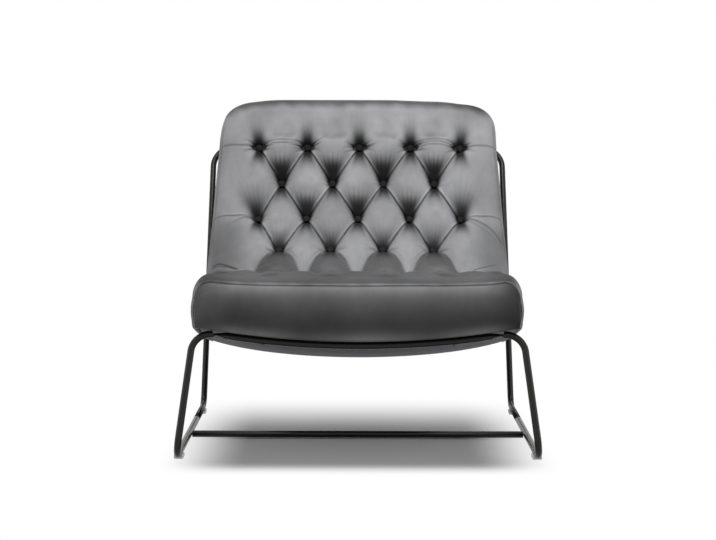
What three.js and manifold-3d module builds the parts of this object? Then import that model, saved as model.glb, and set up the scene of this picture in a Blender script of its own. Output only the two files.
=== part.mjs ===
// Slipper chair: a wide armless lounge chair on a bent round-tube frame, with a
// buttoned seat and back on a bent shell. Millimetres, +Z up, the sitter faces -Y.
import * as THREE from "three";
import { mergeVertices } from "three/addons/utils/BufferGeometryUtils.js";
import Module from "manifold-3d";

const wasm = await Module();
wasm.setup();

// Frame tube and its bends, all measured on the tube's centre line.
const tubeDiameter = 16;
const tubeWall = 2;
const tubeSides = 12;
const footBend = 35;
const kneeBend = 45;
const heelBend = 45;
const shoulderBend = 58;
const bendSteps = 7;
const clearance = 0.3;
const weldTolerance = 0.0001;

// Frame layout. Setbacks are measured from the front corner of the runners.
const runnerLength = 590;
const runnerHalfWidth = 405.5;
const legSplay = 30.1;
const kneeSetback = 115;
const railMidHeight = 249.5;
const railBowRadius = 2142;
const railSteps = 14;
const shoulderDrawIn = 4.5;
const hoopHeight = 684;
const backLean = 23;
const runnerJointSetback = 418;
const sleeveLength = 60;
const stretcherDiameter = 16;
const stretcherSetback = 253;
const crossRailRise = 194;

// Floor glides.
const glideSole = 3;
const glideWall = 2;
const glideLength = 30;
const glideRise = 5;
const glideSteps = 8;
const frontGlideSetback = 66;
const rearGlideSetback = 545;

// Upholstered shell: boards, lining panels and the block that joins the boards.
const seatTilt = 12.8;
const panelThickness = 6;
const boardThickness = 12;
const boardFrontOverhang = 12;
const boardSideInset = 14;
const boardSteps = 16;
const blockLeg = 24;
const blockHalfLength = 368;
const boardTopSetIn = 16;
const boardTopCorner = 82;
const cornerSteps = 6;

// Cushions. Rises run up the back from the heel, and the foam lies on the boards.
const seatFrontHalfWidth = 366;
const seatRearHalfWidth = 396;
const seatFoam = 140;
const noseDepth = 36;
const creaseSetback = 365;
const creaseFoam = 194;
const mitreSetback = 486;
const backLowHalfWidth = 399;
const backHighHalfWidth = 377;
const backFoam = 86;
const backPadTopRise = 838;
const backPadCorner = 85;
const seatSideRise = 9;
const backCrown = 7;
const edgeRound = 46;
const sideDrawIn = 4;
const seatSideShare = 0.6;
const backSideShare = 0.5;

// Tufting: buttons in half-offset rows, joined by diagonal folds.
const buttonPitch = 137;
const foldDepth = 13;
const foldSpread = 22;
const pitDepth = 15;
const pitSpread = 24;
const rowPitch = 105;
const buttonRadius = 9.5;
const buttonHeight = 11;
const buttonSides = 8;
const cellSteps = 4;
const sideFoldShare = 0.6;
const buttonProfileShares = [
  [0, 0],
  [0.32, 0.42],
  [0.9, 0.66],
  [1, 0.78],
  [0.7, 0.94],
  [0, 1],
];

// Bolts through the tubes into tee nuts in the boards.
const boltRadius = 3;
const boltHeadRadius = 6.5;
const boltHeadHeight = 4;
const boltCrownShare = 0.7;
const holeRadius = 3.4;
const boltSides = 10;
const nutBarrelRadius = 5;
const nutBarrelLength = 9;
const nutFlangeRadius = 9;
const nutFlangeThickness = 1.5;
const frontBoltOffset = 220;
const backBoltOffset = 180;

const kneeHalfWidth = runnerHalfWidth - legSplay;
const shoulderHalfWidth = runnerHalfWidth - shoulderDrawIn;
const tubeRadius = tubeDiameter / 2;
const boreRadius = tubeRadius - tubeWall;
const flatShare = Math.cos(Math.PI / tubeSides);
const runnerHeight = glideSole + clearance + tubeRadius;
const panelLevel = tubeRadius + clearance;
const boardLevel = panelLevel + panelThickness + clearance;
const boardTopRise = backPadTopRise - boardTopSetIn;
const foamLevel = boardLevel + boardThickness + clearance;
const radians = Math.PI / 180;
const cutOverrun = 20;

const finishes = {
  paint: { color: 0x1c1c1d, roughness: 0.35, metalness: 0.6 },
  zinc: { color: 0x8f9296, roughness: 0.4, metalness: 0.9 },
  velvet: { color: 0x6b6c6f, roughness: 0.9, metalness: 0 },
  lining: { color: 0x4d4e50, roughness: 0.95, metalness: 0 },
  plywood: { color: 0xc6a878, roughness: 0.8, metalness: 0 },
  glide: { color: 0xc9c9c4, roughness: 0.5, metalness: 0 },
};

const chair = new THREE.Group();

function place(name, geometry, finish) {
  const mesh = new THREE.Mesh(geometry, new THREE.MeshStandardMaterial(finishes[finish]));
  mesh.name = name;
  chair.add(mesh);
  return mesh;
}

// Closed triangle geometry from rings of points: equal rings joined in order, both ends capped.
function loftRings(rings) {
  const count = rings[0].length;
  const positions = rings.flat().flatMap((p) => [p.x, p.y, p.z]);
  const index = [];
  for (let r = 0; r + 1 < rings.length; r++) {
    for (let i = 0; i < count; i++) {
      const a = r * count + i;
      const b = r * count + ((i + 1) % count);
      addQuad(index, rings, count, [a, b, b + count, a + count]);
    }
  }
  const last = (rings.length - 1) * count;
  for (const [a, b, c] of capTriangles(rings[0])) index.push(a, c, b);
  for (const [a, b, c] of capTriangles(rings[rings.length - 1])) index.push(last + a, last + b, last + c);
  const geometry = new THREE.BufferGeometry();
  geometry.setAttribute("position", new THREE.Float32BufferAttribute(positions, 3));
  geometry.setIndex(index);
  return geometry;
}

// A quad is split along the diagonal that lies deeper, so a fold's line becomes an edge. Where neither
// does, it is split from the corner nearer the front, so that stacked sheets are split alike.
function addQuad(index, rings, count, [a, b, c, d]) {
  const at = (k) => rings[Math.floor(k / count)][k % count];
  const depth = (k) => at(k).depth ?? 0;
  const difference = depth(a) + depth(c) - depth(b) - depth(d);
  const alongFirst = difference ? difference > 0 : at(a).y <= at(b).y;
  if (alongFirst) index.push(a, b, c, a, c, d);
  else index.push(a, b, d, b, c, d);
}

// Triangles of a ring's cap, worked out in the plane that the ring lies in.
function capTriangles(ring) {
  const normal = new THREE.Vector3();
  ring.forEach((p, i) => {
    const q = ring[(i + 1) % ring.length];
    normal.x += (p.y - q.y) * (p.z + q.z);
    normal.y += (p.z - q.z) * (p.x + q.x);
    normal.z += (p.x - q.x) * (p.y + q.y);
  });
  normal.normalize();
  const across = new THREE.Vector3(1, 0, 0);
  if (Math.abs(normal.x) > Math.SQRT1_2) across.set(0, 1, 0);
  const up = normal.clone().cross(across).normalize();
  across.copy(up).cross(normal);
  const flat = ring.map((p) => new THREE.Vector2(across.dot(p), up.dot(p)));
  return THREE.ShapeUtils.triangulateShape(flat, []);
}

// Booleans: a geometry's positions as a solid, and a solid as a geometry.
function solidOf(geometry) {
  const plain = geometry.clone();
  plain.deleteAttribute("normal");
  plain.deleteAttribute("uv");
  const merged = mergeVertices(plain, weldTolerance);
  const vertProperties = new Float32Array(merged.attributes.position.array);
  const triVerts = new Uint32Array(merged.index.array);
  return new wasm.Manifold(new wasm.Mesh({ numProp: 3, vertProperties, triVerts }));
}

function geometryOf(solid) {
  const mesh = solid.getMesh();
  const geometry = new THREE.BufferGeometry();
  geometry.setAttribute("position", new THREE.Float32BufferAttribute(mesh.vertProperties, 3));
  geometry.setIndex(new THREE.BufferAttribute(mesh.triVerts, 1));
  return geometry;
}

function cutAll(geometry, cutters) {
  const left = cutters.reduce((solid, cutter) => solid.subtract(solidOf(cutter)), solidOf(geometry));
  return geometryOf(left);
}

// The bent tube's centre line as stations: one at each end of a straight, several round a bend.
class BentLine extends THREE.Curve {
  constructor(corners) {
    super();
    this.stations = corners.flatMap((corner, i) => bendStations(corners[i - 1], corner, corners[i + 1]));
  }
  at(share) {
    return this.stations[Math.round(share * (this.stations.length - 1))];
  }
  getPoint(share) {
    return this.at(share).point.clone();
  }
  getPointAt(share) {
    return this.getPoint(share);
  }
  getTangent(share) {
    return this.at(share).tangent.clone();
  }
  getTangentAt(share) {
    return this.getTangent(share);
  }
}

function bendStations(before, corner, after) {
  const arriving = before ? corner.point.clone().sub(before.point).normalize() : null;
  const leaving = after ? after.point.clone().sub(corner.point).normalize() : null;
  if (!arriving || !leaving) return [{ point: corner.point, tangent: arriving ?? leaving }];
  if (!corner.bend) {
    return [{ point: corner.point, tangent: arriving.clone().add(leaving).normalize() }];
  }
  const turn = arriving.angleTo(leaving);
  const reach = corner.bend * Math.tan(turn / 2);
  const start = corner.point.clone().addScaledVector(arriving, -reach);
  const inward = leaving.clone().addScaledVector(arriving, -arriving.dot(leaving)).normalize();
  return Array.from({ length: bendSteps + 1 }, (_, step) => {
    const angle = (turn * step) / bendSteps;
    const point = start.clone().addScaledVector(arriving, corner.bend * Math.sin(angle));
    point.addScaledVector(inward, corner.bend * (1 - Math.cos(angle)));
    const tangent = arriving.clone().multiplyScalar(Math.cos(angle));
    return { point, tangent: tangent.addScaledVector(inward, Math.sin(angle)) };
  });
}

function circlePoints(radius, sides) {
  return Array.from({ length: sides }, (_, i) => {
    const angle = (2 * Math.PI * (i + 0.5)) / sides;
    return new THREE.Vector2(radius * Math.cos(angle), radius * Math.sin(angle));
  });
}

function tubeAlong(line, outerRadius, innerRadius) {
  const section = new THREE.Shape(circlePoints(outerRadius, tubeSides));
  if (innerRadius) section.holes.push(new THREE.Path(circlePoints(innerRadius, tubeSides)));
  const steps = line.stations.length - 1;
  return new THREE.ExtrudeGeometry(section, { steps, bevelEnabled: false, extrudePath: line });
}

const corner = (x, y, z, bend) => ({ point: new THREE.Vector3(x, y, z), bend });
const mirrored = (corners) => corners.map(({ point, bend }) => corner(-point.x, point.y, point.z, bend));

// How much higher the bowed rail, and the shell that follows it, lies at a distance from the middle.
const bowRise = (x) => railBowRadius - Math.sqrt(railBowRadius ** 2 - x ** 2);

const lean = { up: Math.cos(backLean * radians), back: Math.sin(backLean * radians) };
const tilt = { along: Math.cos(seatTilt * radians), up: Math.sin(seatTilt * radians) };

// Places in the side view. The back's rise runs up the uprights, its offset forward of them; the
// seat's setback runs back down its slope from the front rail, its level square to the slope.
const backPlace = (rise, offset) => ({
  y: runnerLength + rise * lean.back - offset * lean.up,
  z: runnerHeight + rise * lean.up + offset * lean.back,
});
const seatPlace = (setback, level) => ({
  y: kneeSetback + setback * tilt.along + level * tilt.up,
  z: railMidHeight - setback * tilt.up + level * tilt.along,
});

// Front hoop: bowed rail, two legs and the front of both runners, bent from one tube.
function frontHoopLine() {
  const bowHalf = kneeHalfWidth - kneeBend;
  const slope = bowHalf / Math.sqrt(railBowRadius ** 2 - bowHalf ** 2);
  const kneeHeight = railMidHeight + bowRise(bowHalf) + slope * (kneeHalfWidth - bowHalf);
  const side = [
    corner(-runnerHalfWidth, runnerJointSetback - clearance / 2, runnerHeight, 0),
    corner(-runnerHalfWidth, 0, runnerHeight, footBend),
    corner(-kneeHalfWidth, kneeSetback, kneeHeight, kneeBend),
  ];
  const rail = Array.from({ length: railSteps + 1 }, (_, step) => {
    const x = bowHalf * ((2 * step) / railSteps - 1);
    return corner(x, kneeSetback, railMidHeight + bowRise(x), 0);
  });
  return new BentLine([...side, ...rail, ...mirrored(side).reverse()]);
}

// Rear hoop: the back of both runners, two uprights and the top cross length.
function rearHoopLine() {
  const shoulder = backPlace((hoopHeight - runnerHeight) / lean.up, 0);
  const side = [
    corner(-runnerHalfWidth, runnerJointSetback + clearance / 2, runnerHeight, 0),
    corner(-runnerHalfWidth, runnerLength, runnerHeight, heelBend),
    corner(-shoulderHalfWidth, shoulder.y, shoulder.z, shoulderBend),
  ];
  return new BentLine([...side, ...mirrored(side).reverse()]);
}

// A straight round bar or tube across the chair, square ended.
function crossBar(halfLength, y, z, radius, innerRadius) {
  const line = new BentLine([corner(-halfLength, y, z, 0), corner(halfLength, y, z, 0)]);
  return tubeAlong(line, radius, innerRadius);
}

// Fasteners: each runs along a direction from the far side of a tube into a board.
const backward = new THREE.Vector3(0, -lean.up, lean.back);
const topRise = (hoopHeight - runnerHeight) / lean.up;

function seatBoltAxis(x) {
  return new THREE.Vector3(-x / railBowRadius, tilt.up, tilt.along).normalize();
}

const fasteners = [-1, 1].flatMap((side) => {
  const end = side < 0 ? "left" : "right";
  const low = backPlace(crossRailRise, 0);
  const high = backPlace(topRise, 0);
  const frontX = side * frontBoltOffset;
  const backX = side * backBoltOffset;
  return [
    {
      name: "front_" + end,
      tube: "front",
      board: "seat",
      centre: new THREE.Vector3(frontX, kneeSetback, railMidHeight + bowRise(frontX)),
      axis: seatBoltAxis(frontX),
    },
    { name: "rear_" + end, tube: "cross", board: "back", centre: vectorAt(backX, low), axis: backward },
    { name: "top_" + end, tube: "rear", board: "back", centre: vectorAt(backX, high), axis: backward },
  ];
});

function vectorAt(x, place) {
  return new THREE.Vector3(x, place.y, place.z);
}

// Turns a shape built round +Y about the origin to stand on a fastener's centre along its axis.
function along(fastener, geometry) {
  const turn = new THREE.Quaternion().setFromUnitVectors(new THREE.Vector3(0, 1, 0), fastener.axis);
  return geometry.applyQuaternion(turn).translate(...fastener.centre.toArray());
}

function roundHole(fastener, radius, from, to) {
  const cylinder = new THREE.CylinderGeometry(radius, radius, to - from, boltSides);
  return along(fastener, cylinder.translate(0, (from + to) / 2, 0));
}

// Closed profile turned round the fastener's axis.
function turned(points, sides) {
  const profile = points.map(([radius, height]) => new THREE.Vector2(radius, height));
  return new THREE.LatheGeometry(profile, sides);
}

function boltShape() {
  const headTop = -tubeRadius - clearance;
  const headRim = headTop - boltHeadHeight / 2;
  const tip = foamLevel - nutFlangeThickness - clearance;
  return turned(
    [
      [0, headTop - boltHeadHeight],
      [boltHeadRadius * boltCrownShare, headTop - boltHeadHeight],
      [boltHeadRadius, headRim],
      [boltHeadRadius, headTop],
      [boltRadius, headTop],
      [boltRadius, tip],
      [0, tip],
    ],
    boltSides,
  );
}

function teeNutShape() {
  const top = foamLevel - clearance;
  const under = top - nutFlangeThickness;
  return turned(
    [
      [holeRadius, under - nutBarrelLength],
      [nutBarrelRadius, under - nutBarrelLength],
      [nutBarrelRadius, under],
      [nutFlangeRadius, under],
      [nutFlangeRadius, top],
      [holeRadius, top],
      [holeRadius, under - nutBarrelLength],
    ],
    boltSides,
  );
}

const fastenersOf = (key, value) => fasteners.filter((fastener) => fastener[key] === value);

function tubeHoles(tube) {
  const reach = tubeRadius + cutOverrun;
  return fastenersOf("tube", tube).map((fastener) => roundHole(fastener, holeRadius, -reach, reach));
}

function panelHoles(board) {
  const reach = foamLevel + cutOverrun;
  return fastenersOf("board", board).map((fastener) => roundHole(fastener, holeRadius, 0, reach));
}

// Holes in a board: the barrel's bore right through and a recess for the flange on the foam side.
function boardHoles(board) {
  const recess = foamLevel - 2 * clearance - nutFlangeThickness;
  return fastenersOf("board", board).flatMap((fastener) => [
    roundHole(fastener, nutBarrelRadius + clearance, 0, foamLevel + cutOverrun),
    roundHole(fastener, nutFlangeRadius + clearance, recess, foamLevel + cutOverrun),
  ]);
}

function buildFrame() {
  const frontTube = tubeAlong(frontHoopLine(), tubeRadius, boreRadius);
  place("front_hoop", cutAll(frontTube, tubeHoles("front")), "paint");
  const rearTube = tubeAlong(rearHoopLine(), tubeRadius, boreRadius);
  place("rear_hoop", cutAll(rearTube, tubeHoles("rear")), "paint");
  const low = backPlace(crossRailRise, 0);
  const lowShare = crossRailRise / topRise;
  const uprightHalf = runnerHalfWidth + (shoulderHalfWidth - runnerHalfWidth) * lowShare;
  const railHalf = uprightHalf - tubeRadius - clearance;
  const crossRail = crossBar(railHalf, low.y, low.z, tubeRadius, boreRadius);
  place("rear_cross_rail", cutAll(crossRail, tubeHoles("cross")), "paint");
  const stretcherHalf = runnerHalfWidth - tubeRadius - 2 * clearance;
  const outer = stretcherDiameter / 2;
  const inner = outer - tubeWall;
  const stretcher = crossBar(stretcherHalf, stretcherSetback, runnerHeight, outer, inner);
  place("floor_stretcher", stretcher, "paint");
}

// Sleeves: short rods inside both runners that carry the joint between the two hoops.
function buildSleeves() {
  for (const [end, side] of [["left", -1], ["right", 1]]) {
    const x = side * runnerHalfWidth;
    const line = new BentLine([
      corner(x, runnerJointSetback - sleeveLength / 2, runnerHeight, 0),
      corner(x, runnerJointSetback + sleeveLength / 2, runnerHeight, 0),
    ]);
    place("runner_sleeve_" + end, tubeAlong(line, boreRadius * flatShare - clearance, 0), "zinc");
  }
}

// Glide: a moulded saddle that clips round the lower half of a runner.
function buildGlides() {
  const seatRadius = tubeRadius + clearance;
  const half = seatRadius + glideWall;
  const shape = new THREE.Shape();
  shape.moveTo(-half, -tubeRadius - clearance - glideSole);
  shape.lineTo(half, -tubeRadius - clearance - glideSole);
  shape.lineTo(half, glideRise - tubeRadius);
  const lip = Math.asin((glideRise - tubeRadius) / seatRadius);
  for (let step = 0; step <= glideSteps; step++) {
    const angle = lip + ((-Math.PI - 2 * lip) * step) / glideSteps;
    shape.lineTo(seatRadius * Math.cos(angle), seatRadius * Math.sin(angle));
  }
  shape.lineTo(-half, glideRise - tubeRadius);
  for (const [where, setback] of [["front", frontGlideSetback], ["rear", rearGlideSetback]]) {
    for (const [end, side] of [["left", -1], ["right", 1]]) {
      const geometry = new THREE.ExtrudeGeometry(shape, { depth: glideLength, bevelEnabled: false });
      geometry.rotateX(Math.PI / 2);
      geometry.translate(side * runnerHalfWidth, setback + glideLength / 2, runnerHeight);
      place("glide_" + where + "_" + end, geometry, "glide");
    }
  }
}

// Half width of the seat, which widens evenly from its front to the mitre at the crease.
const spreadAt = (share) => seatFrontHalfWidth + (seatRearHalfWidth - seatFrontHalfWidth) * share;
const seatHalfWidth = (setback) => spreadAt(THREE.MathUtils.clamp(setback / mitreSetback, 0, 1));

// Bent sheet across the chair: a section in the side view carried sideways along the rail's bow. Where
// it follows the back board, which leans, it reaches further back as it rises.
const followRate = lean.back / Math.cos((backLean - seatTilt) * radians);

function bowedSheet(section, halfWidthAt, steps) {
  const rings = [];
  for (let step = 0; step <= steps; step++) {
    const share = (2 * step) / steps - 1;
    rings.push(
      section.map(({ setback, level, follows }) => {
        const x = share * halfWidthAt(setback);
        const { y, z } = seatPlace(setback + (follows ? bowRise(x) * followRate : 0), level);
        return new THREE.Vector3(x, y, z + bowRise(x));
      }),
    );
  }
  return loftRings(rings);
}

// Where the seat's boards end, against the front face of the back board.
function seatEndAt(level) {
  const foot = seatPlace(0, level);
  const offset = (runnerLength - foot.y) * lean.up + (foot.z - runnerHeight) * lean.back;
  return (offset - foamLevel) / (tilt.along * lean.up + tilt.up * lean.back);
}

function seatSheet(lowLevel, highLevel) {
  const end = seatEndAt(panelLevel) - clearance;
  const section = [
    { setback: -boardFrontOverhang, level: lowLevel },
    { setback: end, level: lowLevel, follows: true },
    { setback: end, level: highLevel, follows: true },
    { setback: -boardFrontOverhang, level: highLevel },
  ];
  return bowedSheet(section, (setback) => seatHalfWidth(setback) - boardSideInset, boardSteps);
}

// Outline of the back's sheets in their own plane: bowed foot, straight sides, rounded shoulders.
function backOutline() {
  const low = seatPlace(seatEndAt(panelLevel), panelLevel);
  const footRise = (low.z - runnerHeight - panelLevel * lean.back) / lean.up;
  const lowHalf = backLowHalfWidth - boardSideInset;
  const highHalf = backHighHalfWidth - boardSideInset;
  const shape = new THREE.Shape();
  for (let step = 0; step <= boardSteps; step++) {
    const x = lowHalf * ((2 * step) / boardSteps - 1);
    const rise = footRise + bowRise(x) / lean.up;
    if (step) shape.lineTo(x, rise);
    else shape.moveTo(x, rise);
  }
  for (const side of [1, -1]) {
    for (let step = 0; step <= cornerSteps; step++) {
      const turn = side > 0 ? step / cornerSteps : 1 - step / cornerSteps;
      const angle = (turn * Math.PI) / 2;
      const x = highHalf - boardTopCorner * (1 - Math.cos(angle));
      shape.lineTo(side * x, boardTopRise - boardTopCorner * (1 - Math.sin(angle)));
    }
  }
  return shape;
}

function backSheet(level, thickness) {
  const geometry = new THREE.ExtrudeGeometry(backOutline(), { depth: thickness, bevelEnabled: false });
  const basis = new THREE.Matrix4().makeBasis(
    new THREE.Vector3(1, 0, 0),
    new THREE.Vector3(0, lean.back, lean.up),
    new THREE.Vector3(0, -lean.up, lean.back),
  );
  const foot = backPlace(0, level);
  return geometry.applyMatrix4(basis.setPosition(0, foot.y, foot.z));
}

function buildShell() {
  const seatPanel = seatSheet(panelLevel, panelLevel + panelThickness);
  place("outer_seat_panel", cutAll(seatPanel, panelHoles("seat")), "lining");
  const seatBoard = seatSheet(boardLevel, boardLevel + boardThickness);
  place("seat_base_board", cutAll(seatBoard, boardHoles("seat")), "plywood");
  const backPanel = backSheet(panelLevel, panelThickness);
  place("outer_back_panel", cutAll(backPanel, panelHoles("back")), "velvet");
  const backBoard = backSheet(boardLevel, boardThickness);
  place("back_base_board", cutAll(backBoard, boardHoles("back")), "plywood");
  const end = seatEndAt(foamLevel) - 2 * clearance;
  const slant = Math.tan((backLean - seatTilt) * radians);
  const block = [
    { setback: end - blockLeg, level: foamLevel },
    { setback: end, level: foamLevel, follows: true },
    { setback: end + blockLeg * slant, level: foamLevel + blockLeg, follows: true },
  ];
  place("shell_corner_block", bowedSheet(block, () => blockHalfLength, boardSteps / 2), "plywood");
}

function buildFasteners() {
  for (const fastener of fasteners) {
    place("bolt_" + fastener.name, along(fastener, boltShape()), "zinc");
    place("tee_nut_" + fastener.name, along(fastener, teeNutShape()), "zinc");
  }
}

// Cushion stations. Each holds the foam's foot on the shell and its crown in the side view, the half
// width there, the button row it lies on (whole at a row), and the steps to the next station. Climb
// says how far the foot follows the seat board's bow; an upright station's foot rides straight up it.
const crownOn = (setback, foam) => seatPlace(setback, foamLevel + foam);
const creaseCrown = crownOn(creaseSetback, creaseFoam);
const creaseFoot = seatPlace(mitreSetback, foamLevel + clearance);
const creaseRow = 5;

// The nose, from the front edge's underside up to the seam: how far forward, crown and foot heights,
// spread of the sides, bow followed and side rise, as shares of the sizes they follow.
const noseShares = [
  { row: 10.6, forward: 0.4, crown: -0.13, draw: 0.2, foot: 0, spread: 0, bow: 1, lift: 0 },
  { row: 10.4, forward: 0.83, crown: 0.11, draw: 0, foot: 0.3, spread: 0, bow: 0.7, lift: 0 },
  { row: 10.1, forward: 1, crown: 0.39, draw: 0, foot: 0.5, spread: 0, bow: 0.4, lift: 0 },
  { row: 9.8, forward: 0.9, crown: 0.65, draw: 0, foot: 0.75, spread: 0, bow: 0.15, lift: 0 },
  { row: 9.4, forward: 0.48, crown: 0.8, draw: 0, foot: 1, spread: 0.12, bow: 0, lift: 1 },
];

// The seat's top, from the seam back to the last row before the crease.
const seatTopShares = [
  { row: 8.6, run: 0.05, crown: 0.955, foot: 0.05, spread: 0.42, steps: 2 },
  { row: 8, run: 0.2, crown: 1, foot: 0.2, spread: 0.62, steps: cellSteps },
  { row: 7, run: 0.48, crown: 1.07, foot: 0.55, spread: 0.85, steps: cellSteps },
  { row: 6, run: 0.76, crown: 1.15, foot: 0.95, spread: 0.97, steps: cellSteps },
];

// The back, from above the crease to its top edge: crown and foot rises as shares of the top's rise,
// foam as a share of the back's foam, taper as a share of the way from the low to the high width, and
// corner as a share of the rounded top corners' width.
const backShares = [
  { row: 4.5, rise: 0.4175, foam: 1.8, foot: 0.2565, taper: 0, corner: 0, steps: cellSteps / 2 },
  { row: 4, rise: 0.4613, foam: 1.485, foot: 0.408, taper: 0.1, corner: 0, steps: cellSteps },
  { row: 3, rise: 0.5767, foam: 1.13, foot: 0.549, taper: 0.36, corner: 0, steps: cellSteps },
  { row: 2, rise: 0.7012, foam: 0.924, foot: 0.6952, taper: 0.59, corner: 0, steps: cellSteps },
  { row: 1, rise: 0.8231, foam: 0.974, foot: 0.8231, taper: 0.92, corner: 0, steps: 2 },
  { row: 0.45, rise: 0.911, foam: 1.01, foot: 0.9075, taper: 1, corner: 0.067, steps: 1 },
  { row: 0.1, rise: 0.951, foam: 0.99, foot: 0.942, taper: 1, corner: 0.168, steps: 1 },
  { row: -0.1, rise: 0.979, foam: 0.885, foot: 0.963, taper: 1, corner: 0.35, steps: 1 },
  { row: -0.3, rise: 0.995, foam: 0.71, foot: 0.975, taper: 1, corner: 0.62, steps: 1 },
  { row: -0.5, rise: 1, foam: 0.48, foot: 0.983, taper: 1, corner: 0.8, steps: 1 },
  { row: -0.7, rise: 0.996, foam: 0.245, foot: 0.988, taper: 1, corner: 0.92, steps: 1 },
  { row: -0.9, rise: 0.99, foam: 0.09, foot: 0.9905, taper: 1, corner: 1, steps: 1 },
];

function noseStation({ row, forward, crown, draw, foot, spread, bow, lift }) {
  const lip = foamLevel - panelLevel;
  const front = -boardFrontOverhang - 2 * clearance;
  return {
    crown: crownOn(-boardFrontOverhang - noseDepth * forward, seatFoam * crown),
    foot: seatPlace(front - noseDepth * draw, panelLevel + lip * foot),
    half: spreadAt(spread),
    bow,
    lift,
    climb: 1,
    upright: true,
    row,
    steps: 1,
  };
}

function seatTopStation({ row, run, crown, foot, spread, steps }) {
  return {
    crown: crownOn(creaseSetback * run, seatFoam * crown),
    foot: seatPlace(creaseSetback * foot, foamLevel + clearance),
    half: spreadAt(spread),
    bow: 0,
    lift: 1,
    climb: 1,
    row,
    steps,
  };
}

function backStation({ row, rise, foam, foot, taper, corner: cut, steps }) {
  const straight = backLowHalfWidth + (backHighHalfWidth - backLowHalfWidth) * taper;
  return {
    crown: backPlace(backPadTopRise * rise, foamLevel + backFoam * foam),
    foot: backPlace(backPadTopRise * foot, foamLevel + clearance),
    half: straight - backPadCorner * cut,
    bow: 0,
    lift: 1,
    climb: 0,
    row,
    steps,
  };
}

// The crease, where both cushions meet on a mitre; the back's half stands a clearance off the seat's.
function creaseStation(gap, steps) {
  const apart = (place) => ({ y: place.y + gap, z: place.z + 2 * gap });
  const [crown, foot] = [creaseCrown, creaseFoot].map(apart);
  return { crown, foot, half: seatRearHalfWidth, bow: 0, lift: 1, climb: 1, row: creaseRow, steps };
}

const seatStations = [
  ...noseShares.map(noseStation),
  ...seatTopShares.map(seatTopStation),
  creaseStation(0, 1),
];
const backStations = [creaseStation(clearance, cellSteps / 2), ...backShares.map(backStation)];

// Stations with the steps between them filled in: the crown on a smooth curve, the rest straight.
function fillStations(stations) {
  const crowns = stations.map(({ crown }) => vectorAt(0, crown));
  const curve = new THREE.CatmullRomCurve3(crowns, false, "centripetal");
  const filled = [];
  stations.forEach((station, i) => {
    const next = stations[i + 1];
    const steps = next ? station.steps : 1;
    for (let step = 0; step < steps; step++) {
      const share = step / steps;
      const between = (a, b) => (share ? a + (b - a) * share : a);
      const spot = curve.getPoint((i + share) / (stations.length - 1));
      filled.push({
        crown: { y: spot.y, z: spot.z },
        foot: { y: between(station.foot.y, next?.foot.y), z: between(station.foot.z, next?.foot.z) },
        half: between(station.half, next?.half),
        bow: between(station.bow, next?.bow),
        lift: between(station.lift, next?.lift),
        climb: between(station.climb, next?.climb),
        upright: station.upright,
        row: between(station.row, next?.row),
      });
    }
  });
  return filled;
}

// Half as many pitches from the middle, so buttons stand at whole numbers of alternate rows.
const cellWidth = buttonPitch / 2;
const outerCell = 4;
const firstRow = 1;
const lastRow = 8;

// Distance across a diagonal fold for one cell of offset along a row.
const acrossFold = (cellWidth * rowPitch) / Math.hypot(cellWidth, rowPitch);

// Depth that buttons and folds draw the cover in at x on a row: pits at the buttons, diagonal folds
// between them, level folds out to the sides and upright folds to the top and front edges.
function tuftDepth(x, row) {
  const cell = Math.abs(x) / cellWidth;
  const inRows = Math.min(lastRow, Math.max(firstRow, row));
  const oddRow = 2 * Math.round((inRows - 1) / 2) + 1;
  const edgeCell = outerCell - Math.abs(inRows - oddRow);
  const parity = (outerCell + oddRow) % 2;
  const toFold = (value) => Math.abs(value - parity - 2 * Math.round((value - parity) / 2));
  let fold;
  if (row !== inRows) {
    const fade = Math.abs(row - inRows);
    const upright = (cell + outerCell + inRows + 1) % 2;
    fold = Math.exp(-((Math.min(upright, 2 - upright) * cellWidth) / foldSpread) - 2 * fade);
    if (cell > edgeCell + 1) fold = 0;
  } else if (cell <= edgeCell) {
    const nearest = Math.min(toFold(cell + row), toFold(cell - row));
    fold = Math.exp((-nearest * acrossFold) / foldSpread);
  } else {
    const slant = Math.exp((-(cell - edgeCell) * acrossFold) / foldSpread);
    const level = Math.exp((-Math.abs(row - oddRow) * rowPitch) / foldSpread);
    fold = Math.max(slant, cell > outerCell ? level * sideFoldShare : 0);
  }
  return foldDepth * fold + pitDepth * Math.exp(-((buttonDistance(x, row) / pitSpread) ** 2));
}

function buttonDistance(x, row) {
  let least = Infinity;
  for (let near = firstRow; near <= lastRow; near++) {
    for (const cell of rowCells(near)) {
      least = Math.min(least, Math.hypot(x - cell * cellWidth, (row - near) * rowPitch));
    }
  }
  return least;
}

// Cells of a row that hold a button: even ones on odd rows and odd ones between them.
function rowCells(row) {
  const outer = row % 2 ? outerCell : outerCell - 1;
  return Array.from({ length: outer + 1 }, (_, i) => 2 * i - outer);
}

// A cushion's surface and foot at x on a station, before its sides turn down.
function coverPoint(station, x, style) {
  const { crown, foot, half, bow, lift, row } = station;
  const rise = Math.hypot(crown.y - foot.y, crown.z - foot.z);
  const direction = { y: (crown.y - foot.y) / rise, z: (crown.z - foot.z) / rise };
  const inset = Math.min(1, Math.max(0, (half - Math.abs(x)) / edgeRound));
  const round = style.sideShare + (1 - style.sideShare) * Math.sqrt(1 - (1 - inset) ** 2);
  const depth = tuftDepth(x, row) * inset;
  const height = (rise + lift * style.swell(x / half)) * round - depth;
  const bowed = bow * bowRise(x);
  const point = new THREE.Vector3(x, foot.y + direction.y * height, foot.z + direction.z * height + bowed);
  point.depth = depth;
  return { point, direction };
}

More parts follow.
